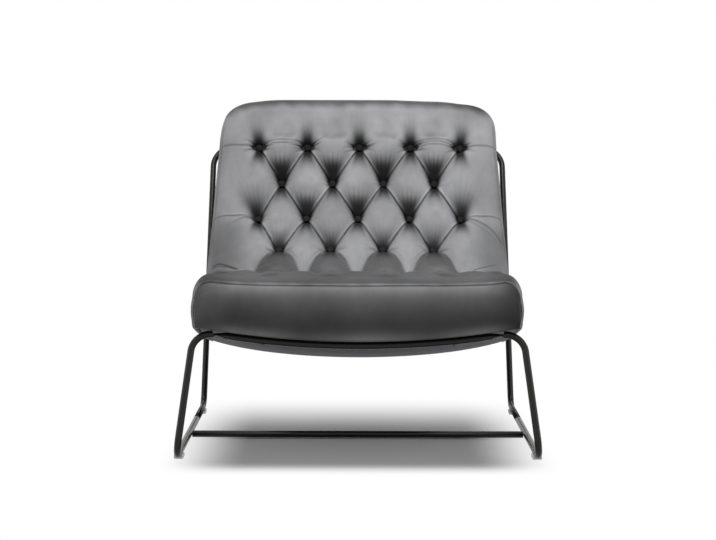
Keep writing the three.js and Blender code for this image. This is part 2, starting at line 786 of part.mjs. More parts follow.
// Foot of the foam at x: it follows the bowed seat board, and lies flat on the back board.
function footPoint({ foot, climb: follows, upright }, x, direction) {
  if (upright) return new THREE.Vector3(x, foot.y, foot.z + bowRise(x));
  const climb = (follows * bowRise(x)) / (direction.z + (tilt.up / tilt.along) * direction.y);
  return new THREE.Vector3(x, foot.y + direction.y * climb, foot.z + direction.z * climb);
}

// Columns across a cushion: even steps over the buttoned field, then closer ones to the edge. Where
// the back narrows at its top, the field's columns draw together with it.
const marginShares = [0.45, 0.75, 0.93, 1];

function columnsAt(half) {
  const outerButton = outerCell * cellWidth;
  const fieldHalf = outerButton * Math.min(1, half / (outerButton + edgeRound));
  const count = outerCell * cellSteps;
  const right = Array.from({ length: count + 1 }, (_, i) => (fieldHalf * i) / count);
  for (const share of marginShares) right.push(fieldHalf + (half - fieldHalf) * share);
  return [...right.slice(1).reverse().map((x) => -x), ...right];
}

function cushionRing(station, style) {
  const columns = columnsAt(station.half);
  const top = columns.map((x) => coverPoint(station, x, style).point);
  const { direction } = coverPoint(station, 0, style);
  const footHalf = station.half - sideDrawIn;
  const wall = (sign) => {
    const low = footPoint(station, sign * footHalf, direction);
    const high = top[sign > 0 ? top.length - 1 : 0];
    const middle = low.clone().lerp(high, 0.5);
    middle.x = sign * station.half;
    return { low, middle };
  };
  const right = wall(1);
  const left = wall(-1);
  const under = [];
  for (let step = 1; step < style.underSteps; step++) {
    const x = footHalf * (1 - (2 * step) / style.underSteps);
    under.push(footPoint(station, x, direction));
  }
  return [...top, right.middle, right.low, ...under, left.low, left.middle];
}

const seatStyle = {
  sideShare: seatSideShare,
  underSteps: 8,
  swell: (share) => seatSideRise * share ** 4,
};
const backStyle = {
  sideShare: backSideShare,
  underSteps: 3,
  swell: (share) => backCrown * (1 - share ** 2),
};

const cushions = [
  { name: "seat_cushion", stations: seatStations, style: seatStyle },
  { name: "back_cushion", stations: backStations, style: backStyle },
];

function buildCushions() {
  for (const { name, stations, style } of cushions) {
    place(name, loftRings(fillStations(stations).map((station) => cushionRing(station, style))), "velvet");
  }
}

// Covered buttons: a domed head on a tapered shank that sits in its pit, square to the cover there.
function buttonShape() {
  const profile = buttonProfileShares.map(([out, up]) => [buttonRadius * out, buttonHeight * up]);
  return turned(profile, buttonSides);
}

function buildButtons() {
  for (const { name, stations, style } of cushions) {
    const where = name.replace("_cushion", "");
    stations.forEach((station, at) => {
      const { row } = station;
      if (!Number.isInteger(row) || row === creaseRow || row > lastRow) return;
      const before = stations[at - 1].crown;
      const after = stations[at + 1].crown;
      const axis = new THREE.Vector3(0, before.z - after.z, after.y - before.y).normalize();
      rowCells(row).forEach((cell, i) => {
        const { point } = coverPoint(station, cell * cellWidth, style);
        const centre = point.addScaledVector(axis, clearance);
        place(`tuft_button_${where}_r${row}_${i + 1}`, along({ axis, centre }, buttonShape()), "velvet");
      });
    });
  }
}

buildFrame();
buildSleeves();
buildGlides();
buildShell();
buildFasteners();
buildCushions();
buildButtons();

// The origin lies on the floor under the middle of the chair's box.
chair.updateMatrixWorld(true);
const box = new THREE.Box3().setFromObject(chair);
chair.position.set(0, -(box.min.y + box.max.y) / 2, -box.min.z);

export default chair;
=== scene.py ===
import bpy
import bmesh
import math
import numpy as np
from collections import namedtuple
from mathutils import Matrix, Vector


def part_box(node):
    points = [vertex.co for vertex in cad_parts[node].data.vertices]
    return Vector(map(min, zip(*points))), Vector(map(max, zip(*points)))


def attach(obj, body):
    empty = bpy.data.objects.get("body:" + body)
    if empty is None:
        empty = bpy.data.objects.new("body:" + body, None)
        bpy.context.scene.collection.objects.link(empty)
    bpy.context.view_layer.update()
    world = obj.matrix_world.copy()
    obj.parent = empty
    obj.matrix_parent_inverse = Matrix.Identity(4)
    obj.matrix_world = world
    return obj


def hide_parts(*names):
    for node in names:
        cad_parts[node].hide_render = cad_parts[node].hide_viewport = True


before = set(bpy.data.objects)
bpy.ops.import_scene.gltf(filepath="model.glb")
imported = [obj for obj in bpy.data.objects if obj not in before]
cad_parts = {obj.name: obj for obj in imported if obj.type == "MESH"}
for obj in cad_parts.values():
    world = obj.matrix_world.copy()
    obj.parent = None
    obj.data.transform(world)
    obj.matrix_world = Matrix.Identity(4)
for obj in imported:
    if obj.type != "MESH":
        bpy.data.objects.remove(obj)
for name in ("Cube", "Light", "Camera"):
    if name in bpy.data.objects:
        bpy.data.objects.remove(bpy.data.objects[name])
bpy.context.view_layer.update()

# Camera: a studio view from straight in front at chest height, looking down a little.
# Its place, pitch and roll were fitted to the outlines of the frame and the pads.
PICTURE_WIDTH = 716
FOCAL_PIXELS = 1392
SENSOR = 36.0
CAMERA_PLACE = (-0.01266, -3.48533, 0.7685)
CAMERA_TURNS = (("Z", -0.207), ("X", 83.730), ("Z", 0.197))  # yaw, pitch and roll in degrees
camera = bpy.data.objects.new("camera", bpy.data.cameras.new("camera"))
bpy.context.scene.collection.objects.link(camera)
camera.data.sensor_width = SENSOR
camera.data.lens = FOCAL_PIXELS / PICTURE_WIDTH * SENSOR
camera.data.clip_end = 60
stand = Matrix.Translation(CAMERA_PLACE)
for axis, degrees in CAMERA_TURNS:
    stand = stand @ Matrix.Rotation(math.radians(degrees), 4, axis)
camera.matrix_world = stand
bpy.context.scene.camera = camera
bpy.context.scene.view_settings.view_transform = "Standard"

# Studio: a plain pale floor that runs out to white past the chair's shade, soft lamps over the chair
# and beside it, one lamp for the floor alone and a dim white world. The camera and whatever mirrors
# or lets through light see the world as full white.
WORLD_LIGHT = 0.20
FLOOR_HALF = 9
FLOOR_TONE = (0.86, 0.86, 0.86)
# Where the floor's own tone ends and where white is reached: across, forwards and backwards.
SHADE_ACROSS, SHADE_FRONT, SHADE_REAR = (0.25, 0.46), (0.435, 0.56), (-0.18, 0.30)
LAMPS = (
    # name, place, aim, size, power
    ("key", (0.0, -1.25, 2.8), (0, 0.0, 0.45), (1.5, 0.9), 96),
    ("top", (0.0, 1.1, 2.7), (0, 0.0, 0.3), (2.2, 1.2), 46),
    ("left", (-2.6, -1.0, 1.5), (0, 0, 0.45), (1.4, 1.6), 11),
    ("right", (2.6, -1.0, 1.5), (0, 0, 0.45), (1.4, 1.6), 11),
    ("floor_lamp", (0.0, 0.55, 2.6), (0, -0.1, 0), (1.3, 0.5), 40),
)


def put(socket, value):
    """Sets an input to a value, or links it to another node's output."""
    if isinstance(value, bpy.types.NodeSocket):
        socket.id_data.links.new(value, socket)
    else:
        socket.default_value = value


def new_material(name, roughness=0.5, color=(0.8, 0.8, 0.8), **sockets):
    material = bpy.data.materials.new(name)
    material.use_nodes = True
    shader = material.node_tree.nodes["Principled BSDF"]
    shader.inputs["Base Color"].default_value = (*color, 1)
    shader.inputs["Roughness"].default_value = roughness
    for socket, value in sockets.items():
        put(shader.inputs[socket.replace("_", " ")], value)
    return material, material.node_tree, shader.inputs


def node(tree, kind, **settings):
    """A shader node. Its settings are inputs, each a value or another node's output, or properties."""
    made = tree.nodes.new("ShaderNode" + kind)
    for key, value in settings.items():
        if key in made.inputs:
            put(made.inputs[key], value)
        else:
            setattr(made, key, value)
    return made


def math_node(tree, operation, *values):
    made = node(tree, "Math", operation=operation)
    for slot, value in enumerate(values):
        put(made.inputs[slot], value)
    return made.outputs[0]


def map_range(tree, value, span, result, **settings):
    """A value whose span is laid on a result span."""
    made = node(tree, "MapRange", Value=value, **settings)
    for socket, number in zip(("From Min", "From Max", "To Min", "To Max"), (*span, *result)):
        made.inputs[socket].default_value = number
    return made.outputs["Result"]


def noise(tree, scale, detail=2.0, roughness=0.5, stretch=(1, 1, 1)):
    """Noise over the piece's own coordinates, which are scaled by axis first."""
    place = node(tree, "TexCoord").outputs["Object"]
    place = node(tree, "Mapping", Vector=place, Scale=stretch).outputs["Vector"]
    made = node(tree, "TexNoise", Vector=place, Scale=scale, Detail=detail, Roughness=roughness)
    return made.outputs["Fac"]


def bump(tree, height, strength, distance):
    made = node(tree, "Bump", Height=height, Strength=strength, Distance=distance)
    return made.outputs["Normal"]


def dress(starts, material):
    """Gives a better material to the CAD nodes whose names start so."""
    for name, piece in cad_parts.items():
        if name.startswith(starts):
            piece.data.materials.clear()
            piece.data.materials.append(material)


def add_piece(name, bm):
    mesh = bpy.data.meshes.new(name)
    bm.to_mesh(mesh)
    bm.free()
    piece = bpy.data.objects.new(name, mesh)
    bpy.context.scene.collection.objects.link(piece)
    return piece


def lamp(name, place, aim, size, power):
    data = bpy.data.lights.new(name, "AREA")
    data.shape = "RECTANGLE"
    data.size, data.size_y = size
    data.energy = power
    made = bpy.data.objects.new(name, data)
    bpy.context.scene.collection.objects.link(made)
    made.location = place
    made.rotation_euler = (Vector(aim) - Vector(place)).to_track_quat("-Z", "Y").to_euler()
    made.visible_camera = False
    return made


world = bpy.data.worlds.new("studio")
bpy.context.scene.world = world
world.use_nodes = True
tree = world.node_tree
background = tree.nodes["Background"]
background.inputs["Color"].default_value = (1, 1, 1, 1)
rays = node(tree, "LightPath").outputs
seen = math_node(tree, "MAXIMUM", rays["Is Camera Ray"], rays["Is Transmission Ray"])
seen = math_node(tree, "MAXIMUM", seen, rays["Is Glossy Ray"])
strength = math_node(tree, "MULTIPLY_ADD", seen, 1 - WORLD_LIGHT, WORLD_LIGHT)
put(background.inputs["Strength"], strength)

bm = bmesh.new()
bmesh.ops.create_grid(bm, x_segments=2, y_segments=2, size=FLOOR_HALF)
floor = add_piece("floor", bm)
material, tree, _ = new_material("pale_floor", 0.9, FLOOR_TONE)
floor.data.materials.append(material)
spot_on = node(tree, "SeparateXYZ", Vector=node(tree, "TexCoord").outputs["Object"]).outputs
across_floor = math_node(tree, "ABSOLUTE", spot_on["X"])
forward, backward = math_node(tree, "MULTIPLY", spot_on["Y"], -1.0), spot_on["Y"]
inside = 1.0
for value, span in ((across_floor, SHADE_ACROSS), (forward, SHADE_FRONT), (backward, SHADE_REAR)):
    clear = map_range(tree, value, span, (1, 0), interpolation_type="SMOOTHSTEP")
    inside = math_node(tree, "MULTIPLY", clear, inside)
blend = node(tree, "MixShader", Fac=math_node(tree, "SUBTRACT", 1.0, inside))
put(blend.inputs[1], tree.nodes["Principled BSDF"].outputs["BSDF"])
put(blend.inputs[2], node(tree, "Emission").outputs["Emission"])
put(tree.nodes["Material Output"].inputs["Surface"], blend.outputs["Shader"])

lamps = {spec[0]: lamp(*spec) for spec in LAMPS}
# The lamps over the chair are flagged off the floor, which has a lamp of its own.
for group, state, names in (
    ("flagged_off", "EXCLUDE", ("key", "top")),
    ("floor_only", "INCLUDE", ("floor_lamp",)),
):
    linked = bpy.data.collections.new(group)
    linked.objects.link(floor)
    linked.collection_objects[0].light_linking.link_state = state
    for name in names:
        lamps[name].light_linking.receiver_collection = linked

# Frame: two round steel tubes bent into hoops, plugged end to end in the runners, with a cross rail
# under the seat's rear and a bar across the runners. All of it is welded, then painted black.
TUBE, BAR = 0.008, 0.008
RUN_HALF = 0.4055
KNEE_HALF = RUN_HALF - 0.0301
SHOULDER_HALF = RUN_HALF - 0.0045
FRONT_Y, KNEE_Y, HEEL_Y = -0.459579, -0.344579, 0.130421
RUN_Z, RAIL_Z, HOOP_TOP = 0.0113, 0.2495, 0.684
JOINT_Y = FRONT_Y + 0.418
JOINT_GAP = 0.0003
BOW_RADIUS = 2.142
FOOT_BEND, KNEE_BEND, HEEL_BEND, SHOULDER_BEND = 0.035, 0.045, 0.045, 0.058
TILT, LEAN = math.radians(12.8), math.radians(23)  # of the seat and of the back


def bow(x):
    """How far the front rail, and the seat with it, climbs towards its ends."""
    return BOW_RADIUS - np.sqrt(BOW_RADIUS**2 - np.square(x))


def seat_place(setback, level):
    return (
        KNEE_Y + setback * math.cos(TILT) + level * math.sin(TILT),
        RAIL_Z - setback * math.sin(TILT) + level * math.cos(TILT),
    )


def back_place(rise, offset):
    return (
        HEEL_Y + rise * math.sin(LEAN) - offset * math.cos(LEAN),
        RUN_Z + rise * math.cos(LEAN) + offset * math.sin(LEAN),
    )


def bent_line(corners, step=math.radians(5)):
    """Points along a line whose corners are rounded to their bend radius."""
    points = []
    places = [Vector(c[:3]) for c in corners]
    for i, (place, (*_, radius)) in enumerate(zip(places, corners)):
        if not radius:
            points.append(place)
            continue
        before = (place - places[i - 1]).normalized()
        after = (places[i + 1] - place).normalized()
        turn = before.angle(after)
        axis = before.cross(after).normalized()
        side = axis.cross(before)
        centre = place - before * (radius * math.tan(turn / 2)) + side * radius
        count = max(2, math.ceil(turn / step))
        for k in range(count + 1):
            points.append(centre - Matrix.Rotation(turn * k / count, 3, axis) @ side * radius)
    return points


def tube(name, points, radius, sides=28):
    """A round tube or bar along the points: one ring of edges, drawn out from point to point."""
    bm = bmesh.new()
    heads = [(b - a).normalized() for a, b in zip(points, points[1:])]
    turns = [(a + b).normalized() for a, b in zip(heads, heads[1:])]
    heads = [heads[0], *turns, heads[-1]]
    upright = heads[0].to_track_quat("Z", "Y").to_matrix().to_4x4()
    start = Matrix.Translation(points[0]) @ upright
    verts = bmesh.ops.create_circle(bm, segments=sides, radius=radius, matrix=start)["verts"]
    edges = list({e for v in verts for e in v.link_edges})
    bmesh.ops.edgeloop_fill(bm, edges=edges)
    for i in range(1, len(points)):
        made = bmesh.ops.extrude_edge_only(bm, edges=edges)["geom"]
        verts = [g for g in made if isinstance(g, bmesh.types.BMVert)]
        edges = [g for g in made if isinstance(g, bmesh.types.BMEdge)]
        swing = heads[i - 1].rotation_difference(heads[i]).to_matrix().to_4x4()
        move = Matrix.Translation(points[i]) @ swing @ Matrix.Translation(-points[i - 1])
        bmesh.ops.transform(bm, matrix=move, verts=verts)
    bmesh.ops.edgeloop_fill(bm, edges=edges)
    bmesh.ops.recalc_face_normals(bm, faces=bm.faces)
    for face in bm.faces:
        face.smooth = len(face.verts) == 4
    piece = add_piece(name, bm)
    piece.data.materials.append(paint)
    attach(piece, "root")
    return piece


def mirrored(side):
    return [(-x, y, z, radius) for x, y, z, radius in reversed(side)]


PAINT = (0.007, 0.0068, 0.006)
paint, tree, looks = new_material("black_paint", 0.22, PAINT, Specular_IOR_Level=0.22)
put(looks["Roughness"], map_range(tree, noise(tree, 9.0, 4.0), (0, 1), (0.22, 0.30)))
put(looks["Normal"], bump(tree, noise(tree, 900.0), 0.12, 0.0004))

bow_half = KNEE_HALF - KNEE_BEND
bow_slope = bow_half / math.sqrt(BOW_RADIUS**2 - bow_half**2)
knee_z = RAIL_Z + float(bow(bow_half)) + bow_slope * (KNEE_HALF - bow_half)
side = [
    (-RUN_HALF, JOINT_Y - JOINT_GAP / 2, RUN_Z, 0),
    (-RUN_HALF, FRONT_Y, RUN_Z, FOOT_BEND),
    (-KNEE_HALF, KNEE_Y, knee_z, KNEE_BEND),
]
rail = [(x, KNEE_Y, RAIL_Z + float(bow(x)), 0) for x in np.linspace(-bow_half, bow_half, 25)]
piece = tube("front_hoop_tube", bent_line(side + rail + mirrored(side)), TUBE)
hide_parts("front_hoop")

side = [
    (-RUN_HALF, JOINT_Y + JOINT_GAP / 2, RUN_Z, 0),
    (-RUN_HALF, HEEL_Y, RUN_Z, HEEL_BEND),
    (-SHOULDER_HALF, *back_place((HOOP_TOP - RUN_Z) / math.cos(LEAN), 0), SHOULDER_BEND),
]
piece = tube("rear_hoop_tube", bent_line(side + mirrored(side)), TUBE)
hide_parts("rear_hoop")

for name, source, radius in (
    ("rear_cross_tube", "rear_cross_rail", TUBE),
    ("floor_bar", "floor_stretcher", BAR),
):
    low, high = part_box(source)
    middle = (low + high) / 2
    ends = [Vector((x, middle.y, middle.z)) for x in (low.x, high.x)]
    piece = tube(name, ends, radius)
    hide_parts(source)
dress("runner_sleeve", paint)

# Glides: moulded saddles snapped under the runners, so that steel doesn't touch the floor.
# They are pale, slightly cloudy plastic.
PLASTIC = (0.46, 0.46, 0.45)
cloudy, tree, looks = new_material("glide_plastic", 0.40, PLASTIC, Specular_IOR_Level=0.4)
put(looks["Normal"], bump(tree, noise(tree, 220.0, 3.0), 0.15, 0.0005))
dress("glide", cloudy)

# Fasteners: round-headed bolts through the tubes and tee nuts in the boards, in dark passivated zinc.
# They are hidden or seen only from behind and below.
zinc, tree, looks = new_material("zinc_plate", 0.42, (0.075, 0.075, 0.073), Metallic=1.0)
put(looks["Roughness"], map_range(tree, noise(tree, 340.0, 3.0), (0, 1), (0.24, 0.5)))
dress(("bolt_", "tee_nut_"), zinc)

# Shell: a bent plywood seat board and a flat plywood back board, glued to a corner block.
# Only their edges could be seen, between the pads and the outer panels.
plywood, tree, looks = new_material("birch_plywood", 0.6)
colors = node(tree, "ValToRGB", Fac=noise(tree, 6.0, 6.0, stretch=(4, 90, 90)))
colors.color_ramp.elements[0].color = (0.36, 0.25, 0.15, 1)
colors.color_ramp.elements[1].color = (0.62, 0.47, 0.31, 1)
put(looks["Base Color"], colors.outputs["Color"])
dress(("seat_base_board", "back_base_board", "shell_corner_block"), plywood)

# Velvet: short dense cotton pile in a dark warm grey. Pile that leans away from the light is nearly
# black and pile that leans into it pale, so its tone wanders over a panel.
VELVET = (0.236, 0.237, 0.242)
# The buttons' share is painted shade: their velvet is darkened nearly to black for the shade of their
# pits.
PANEL_TONE, BUTTON_SHADE = 0.66, 0.05  # shares of the cover's tone


def velvet_cloth(name, color, tone_name=None, mottle=0.22, sheen_weight=0.07):
    """Velvet whose tone wanders by the mottle and by the mesh's attribute of painted light and shade,
    if any.
    """
    material, tree, looks = new_material(
        name, 0.82, color, Specular_IOR_Level=0.06,
        Sheen_Weight=sheen_weight, Sheen_Roughness=0.32, Sheen_Tint=(0.93, 0.95, 1.0, 1),
    )
    wide = noise(tree, 7.0, 5.0, 0.55)
    strokes = noise(tree, 1.0, 4.0, 0.6, (34, 16, 20))
    both = math_node(tree, "MULTIPLY_ADD", strokes, 0.32, math_node(tree, "MULTIPLY", wide, 0.68))
    shade = map_range(tree, both, (0.32, 0.68), (1 - mottle, 1 + mottle))
    if tone_name:
        tone = node(tree, "Attribute", attribute_name=tone_name)
        shade = math_node(tree, "MULTIPLY", shade, tone.outputs["Fac"])
    tint = node(tree, "VectorMath", operation="SCALE", Scale=shade)
    tint.inputs[0].default_value = color
    put(looks["Base Color"], tint.outputs["Vector"])
    put(looks["Normal"], bump(tree, noise(tree, 2600.0), 0.35, 0.0006))
    return material


velvet = velvet_cloth("grey_velvet", tuple(c * PANEL_TONE for c in VELVET))
# The cover's tone attribute carries its painted light and shade.
velvet_cover = velvet_cloth("grey_velvet_cover", VELVET, "cover_tone_and_light", 0.18)
shaded_button_color = tuple(c * BUTTON_SHADE for c in VELVET)
velvet_button = velvet_cloth("grey_velvet_button", shaded_button_color, sheen_weight=0.01)

# Outer back: a thin board under wadding and velvet, its cloth pulled round the edges. It is pressed
# into place between the hoop's cross rails, so it swells between them.
PANEL_FACE, PANEL_BACK = 0.0143, 0.0083
PANEL_FOOT, PANEL_TOP = 0.1407, 0.838
PANEL_HALF, PANEL_TAPER = 0.385, 0.022
PANEL_CORNER = 0.072
PANEL_SWELL, SWELL_REACH = 0.0085, 0.09
FOOT_REACH = 0.06
RAIL_RISES = (0.194, 0.731)
EDGE_ROUND = 0.0055
MEAN_HALF = 0.38
PANEL_LINES = 90


def lattice(name, rows, columns, levels):
    """A thin closed block of evenly divided faces, and each vertex's row, column and level in it."""
    bm = bmesh.new()
    bmesh.ops.create_grid(bm, x_segments=columns - 1, y_segments=rows - 1, size=0.5)
    grown = bmesh.ops.extrude_face_region(bm, geom=list(bm.faces), use_keep_orig=True)["geom"]
    grown = [g for g in grown if isinstance(g, bmesh.types.BMVert)]
    bmesh.ops.translate(bm, verts=grown, vec=(0, 0, 1))
    uprights = [e for e in bm.edges if abs(e.verts[0].co.z - e.verts[1].co.z) > 0.5]
    if levels > 1:
        bmesh.ops.subdivide_edges(bm, edges=uprights, cuts=levels - 1, use_grid_fill=True)
    bmesh.ops.recalc_face_normals(bm, faces=bm.faces)
    piece = add_piece(name, bm)
    place = np.empty(len(piece.data.vertices) * 3)
    piece.data.vertices.foreach_get("co", place)
    place = place.reshape(-1, 3)
    place = (place - place.min(0)) / np.ptp(place, axis=0) * (columns - 1, rows - 1, levels)
    column, line, level = np.rint(place).astype(int).T
    return piece, line, column, level


def bend_panel(panel, x, y, z, cloth):
    """Moves a panel's points to their places, turns its faces outward and dresses it."""
    mesh = panel.data
    mesh.vertices.foreach_set("co", np.column_stack([x, y, z]).astype(np.float32).ravel())
    bm = bmesh.new()
    bm.from_mesh(mesh)
    bmesh.ops.recalc_face_normals(bm, faces=bm.faces)
    bm.to_mesh(mesh)
    bm.free()
    mesh.update()
    mesh.shade_smooth()
    mesh.materials.append(cloth)


def ramp(value, width):
    """0 up to 0, then evenly up to 1 at the width."""
    return np.clip(value / width, 0, 1)


def quarter_round(p, q):
    """A square corner's shares along its two sides, pressed into its quarter round."""
    return p * np.sqrt(1 - q * q / 2), q * np.sqrt(1 - p * p / 2)


def along_rows(fine_edge, low, high, even):
    """Stations from low to high: close ones round both edges and even ones between."""
    turns = np.linspace(0, math.pi / 2, 6)
    round_in = fine_edge * (1 - np.cos(turns))
    middle = np.linspace(low + fine_edge, high - fine_edge, even)[1:-1]
    return np.concatenate([low + round_in, middle, high - round_in[::-1]])


def rolled(distance):
    """How far a face falls at a distance from its rolled edge."""
    inner = EDGE_ROUND - np.clip(distance, 0, EDGE_ROUND)
    return EDGE_ROUND - np.sqrt(np.maximum(EDGE_ROUND**2 - inner**2, 0))


rises = along_rows(EDGE_ROUND, PANEL_FOOT, PANEL_TOP, PANEL_LINES)
wide = along_rows(EDGE_ROUND / MEAN_HALF, -1.0, 1.0, PANEL_LINES)
panel, line, column, level = lattice("outer_back_cover", len(rises), len(wide), 1)
rise, across_x = rises[line], wide[column]
half = PANEL_HALF - PANEL_TAPER * ramp(rise / PANEL_TOP - 0.45, 0.45)
x = across_x * half
corner_x = ramp(np.abs(x) - (half - PANEL_CORNER), PANEL_CORNER)
corner_r = ramp(rise - (PANEL_TOP - PANEL_CORNER), PANEL_CORNER)
pressed = (corner_x > 0) & (corner_r > 0)
corner_x, corner_r = quarter_round(corner_x, corner_r)
x = np.where(pressed, np.sign(x) * (half - PANEL_CORNER + PANEL_CORNER * corner_x), x)
rise = np.where(pressed, PANEL_TOP - PANEL_CORNER + PANEL_CORNER * corner_r, rise)
rim = np.where(pressed, PANEL_CORNER * (1 - np.hypot(corner_x, corner_r)), 1)
rim = np.minimum.reduce([rim, half - np.abs(x), PANEL_TOP - rise, rise - PANEL_FOOT])
lift_foot = bow(x) / math.cos(LEAN) * np.clip(1 - (rise - PANEL_FOOT) / FOOT_REACH, 0, 1)
between_rails = ramp(rise - RAIL_RISES[0], RAIL_RISES[1] - RAIL_RISES[0])
swelling = PANEL_SWELL * np.sin(math.pi * between_rails) ** 0.7 * ramp(rim, SWELL_REACH) ** 0.6
offset = np.where(level == 1, PANEL_FACE, PANEL_BACK - swelling + rolled(rim))
bend_panel(panel, x, *back_place(rise + lift_foot, offset), velvet)
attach(panel, "root")
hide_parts("outer_back_panel")

# Seat lining: dark woven dust cloth over wadding, stapled under the seat board's edges. It hangs a
# little towards the rear, where it is rolled over the board's end.
LINING_FRONT, LINING_REAR = -0.0122, 0.5127
LINING_LINES = 70
LINING_SAG = 0.0088
SAG_START, SAG_REACH = 0.03, 0.28
LINING_SETBACKS = (-0.012, 0.018, 0.073, 0.175, 0.277, 0.365)
LINING_HALVES = (0.352, 0.3646, 0.3706, 0.3775, 0.3811, 0.382)
lining = velvet_cloth("dark_lining", (0.080, 0.081, 0.088), mottle=0.10)
setbacks = along_rows(EDGE_ROUND, LINING_FRONT, LINING_REAR, LINING_LINES)
panel, line, column, level = lattice("seat_lining", len(setbacks), len(wide), 1)
setback, across_x = setbacks[line], wide[column]
half = np.interp(setback, LINING_SETBACKS, LINING_HALVES)
x = across_x * half
rim = np.minimum.reduce([half - np.abs(x), setback - LINING_FRONT, LINING_REAR - setback])
hang = LINING_SAG * ramp(setback - SAG_START, SAG_REACH) * (1 - np.abs(across_x) ** 5)
y, z = seat_place(setback, np.where(level == 1, PANEL_FACE, PANEL_BACK - hang + rolled(rim)))
bend_panel(panel, x, y, z + bow(x), lining)
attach(panel, "root")
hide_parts("outer_seat_panel")

# Cover: one upholstery velvet over moulded foam, seat and back in one piece. It is drawn down by the
# buttons and pleated between them, runs down past the boards' edges and is stapled under them.
PITCH = 0.0685
EDGE, CORNER = 0.046, 0.085
FOAM_LEVEL, FOOT_LEVEL, HEM_LEVEL = 0.0269, 0.0272, 0.009
SEAT_FOAM, CREASE_FOAM, BACK_FOAM = 0.140, 0.194, 0.086
SEAT_HALF, SEAT_SPREAD = 0.366, 0.030
BACK_HALF, BACK_TAPER = 0.399, 0.022
TOP_RISE = 0.838
CREASE = 0.365
NOSE = 0.036
GRID = 0.0031
STEPS = 28  # lines of the sheet from one button row, or column, to the next


def eased(value):
    """0 to 1, without a corner at either end."""
    value = np.clip(value, 0, 1)
    return value * value * (3 - 2 * value)


def bell(value, width, power=2.0):
    """1 at 0, fading to either side over the width."""
    return np.exp(-((value / width) ** power))


def crown_on(setback, foam):
    return seat_place(setback, FOAM_LEVEL + foam)


# Places along the chair, from the front's lower edge over the crease to the top. Buttons' rows count
# from the top. Side is the share of the side wall that stands straight.
Station = namedtuple("Station", "row crown foot side_foot hem half follow lift side")
stations = []
for row, out, crown, draw, foot, spread, follow, lift in (
    (10.6, 0.40, -0.13, 0.2, 0.0, 0.0, 1.0, 0),
    (10.4, 0.83, 0.11, 0.0, 0.3, 0.0, 0.7, 0),
    (10.1, 1.00, 0.39, 0.0, 0.5, 0.0, 0.4, 0),
    (9.8, 0.90, 0.65, 0.0, 0.75, 0.0, 0.15, 0),
    (9.4, 0.48, 0.80, 0.0, 1.0, 0.12, 0.0, 1),
):
    top = crown_on(-0.012 - NOSE * out, SEAT_FOAM * crown)
    low = seat_place(-0.0126 - NOSE * draw, PANEL_BACK + (FOAM_LEVEL - PANEL_BACK) * foot)
    hem = seat_place(-0.0070 - NOSE * draw, PANEL_BACK)
    half = SEAT_HALF + SEAT_SPREAD * spread
    stations.append(Station(row, top, low, low, hem, half, follow, lift, 0.6))
for row, run, crown, foot, spread in (
    (8.6, 0.05, 0.955, 0.05, 0.42),
    (8.0, 0.20, 1.00, 0.20, 0.62),
    (7.0, 0.48, 1.07, 0.55, 0.85),
    (6.0, 0.76, 1.15, 0.95, 0.97),
):
    top = crown_on(CREASE * run, SEAT_FOAM * crown)
    low, hem = (seat_place(CREASE * foot, level) for level in (FOOT_LEVEL, HEM_LEVEL))
    stations.append(Station(row, top, low, low, hem, SEAT_HALF + SEAT_SPREAD * spread, 0, 1, 0.6))
low, side_low = (seat_place(setback, FOOT_LEVEL) for setback in (0.486, 0.516))
hem, half = seat_place(0.531, HEM_LEVEL), SEAT_HALF + SEAT_SPREAD
stations.append(Station(5.0, crown_on(CREASE, CREASE_FOAM), low, side_low, hem, half, 0, 1, 0.58))
for row, rise, foam, foot, hem, taper, side in (
    (4.5, 0.4175, 1.80, 0.2565, 0.232, 0.00, 0.54),
    (4.0, 0.4613, 1.485, 0.4080, 0.4080, 0.10, 0.5),
    (3.0, 0.5767, 1.13, 0.5490, 0.5490, 0.36, 0.5),
    (2.0, 0.7012, 0.924, 0.6952, 0.6952, 0.59, 0.5),
    (1.0, 0.8231, 0.974, 0.8231, 0.8231, 0.92, 0.5),
    (0.45, 0.9110, 1.01, 0.9110, 0.9110, 1.00, 0.5),
    (-0.1, 1.0000, 1.00, 1.0000, 1.0000, 1.00, 0.5),
):
    top = back_place(TOP_RISE * rise, FOAM_LEVEL + BACK_FOAM * foam)
    low = back_place(TOP_RISE * foot, FOOT_LEVEL)
    side_low, hem = (back_place(TOP_RISE * hem, level) for level in (FOOT_LEVEL, HEM_LEVEL))
    half = BACK_HALF - BACK_TAPER * taper
    stations.append(Station(row, top, low, side_low, hem, half, 0, 1, side))


def smooth_table(knots, values, at):
    """Values between the knots on a curve that keeps each knot's slope, for one or more columns."""
    values = np.asarray(values, float).reshape(len(knots), -1)
    slopes = np.gradient(values, knots, axis=0)
    slopes[0] = (values[1] - values[0]) / (knots[1] - knots[0])
    slopes[-1] = (values[-1] - values[-2]) / (knots[-1] - knots[-2])
    i = np.clip(np.searchsorted(knots, at) - 1, 0, len(knots) - 2)
    width = (knots[i + 1] - knots[i])[:, None]
    t = ((at - knots[i]) / (knots[i + 1] - knots[i]))[:, None]
    a, b = values[i], values[i + 1]
    return (
        a * (1 + 2 * t) * (1 - t) ** 2 + b * t * t * (3 - 2 * t)
        + slopes[i] * width * t * (1 - t) ** 2 + slopes[i + 1] * width * t * t * (t - 1)
    )


crowns = np.array([s.crown for s in stations])
knots = np.concatenate([[0], np.cumsum(np.linalg.norm(np.diff(crowns, axis=0), axis=1))])
length = knots[-1]
rows_at = np.array([s.row for s in stations])


def run_of_row(row):
    """Length along the crown, from the front's lower edge, at which a row lies."""
    return float(np.interp(-row, -rows_at, knots))


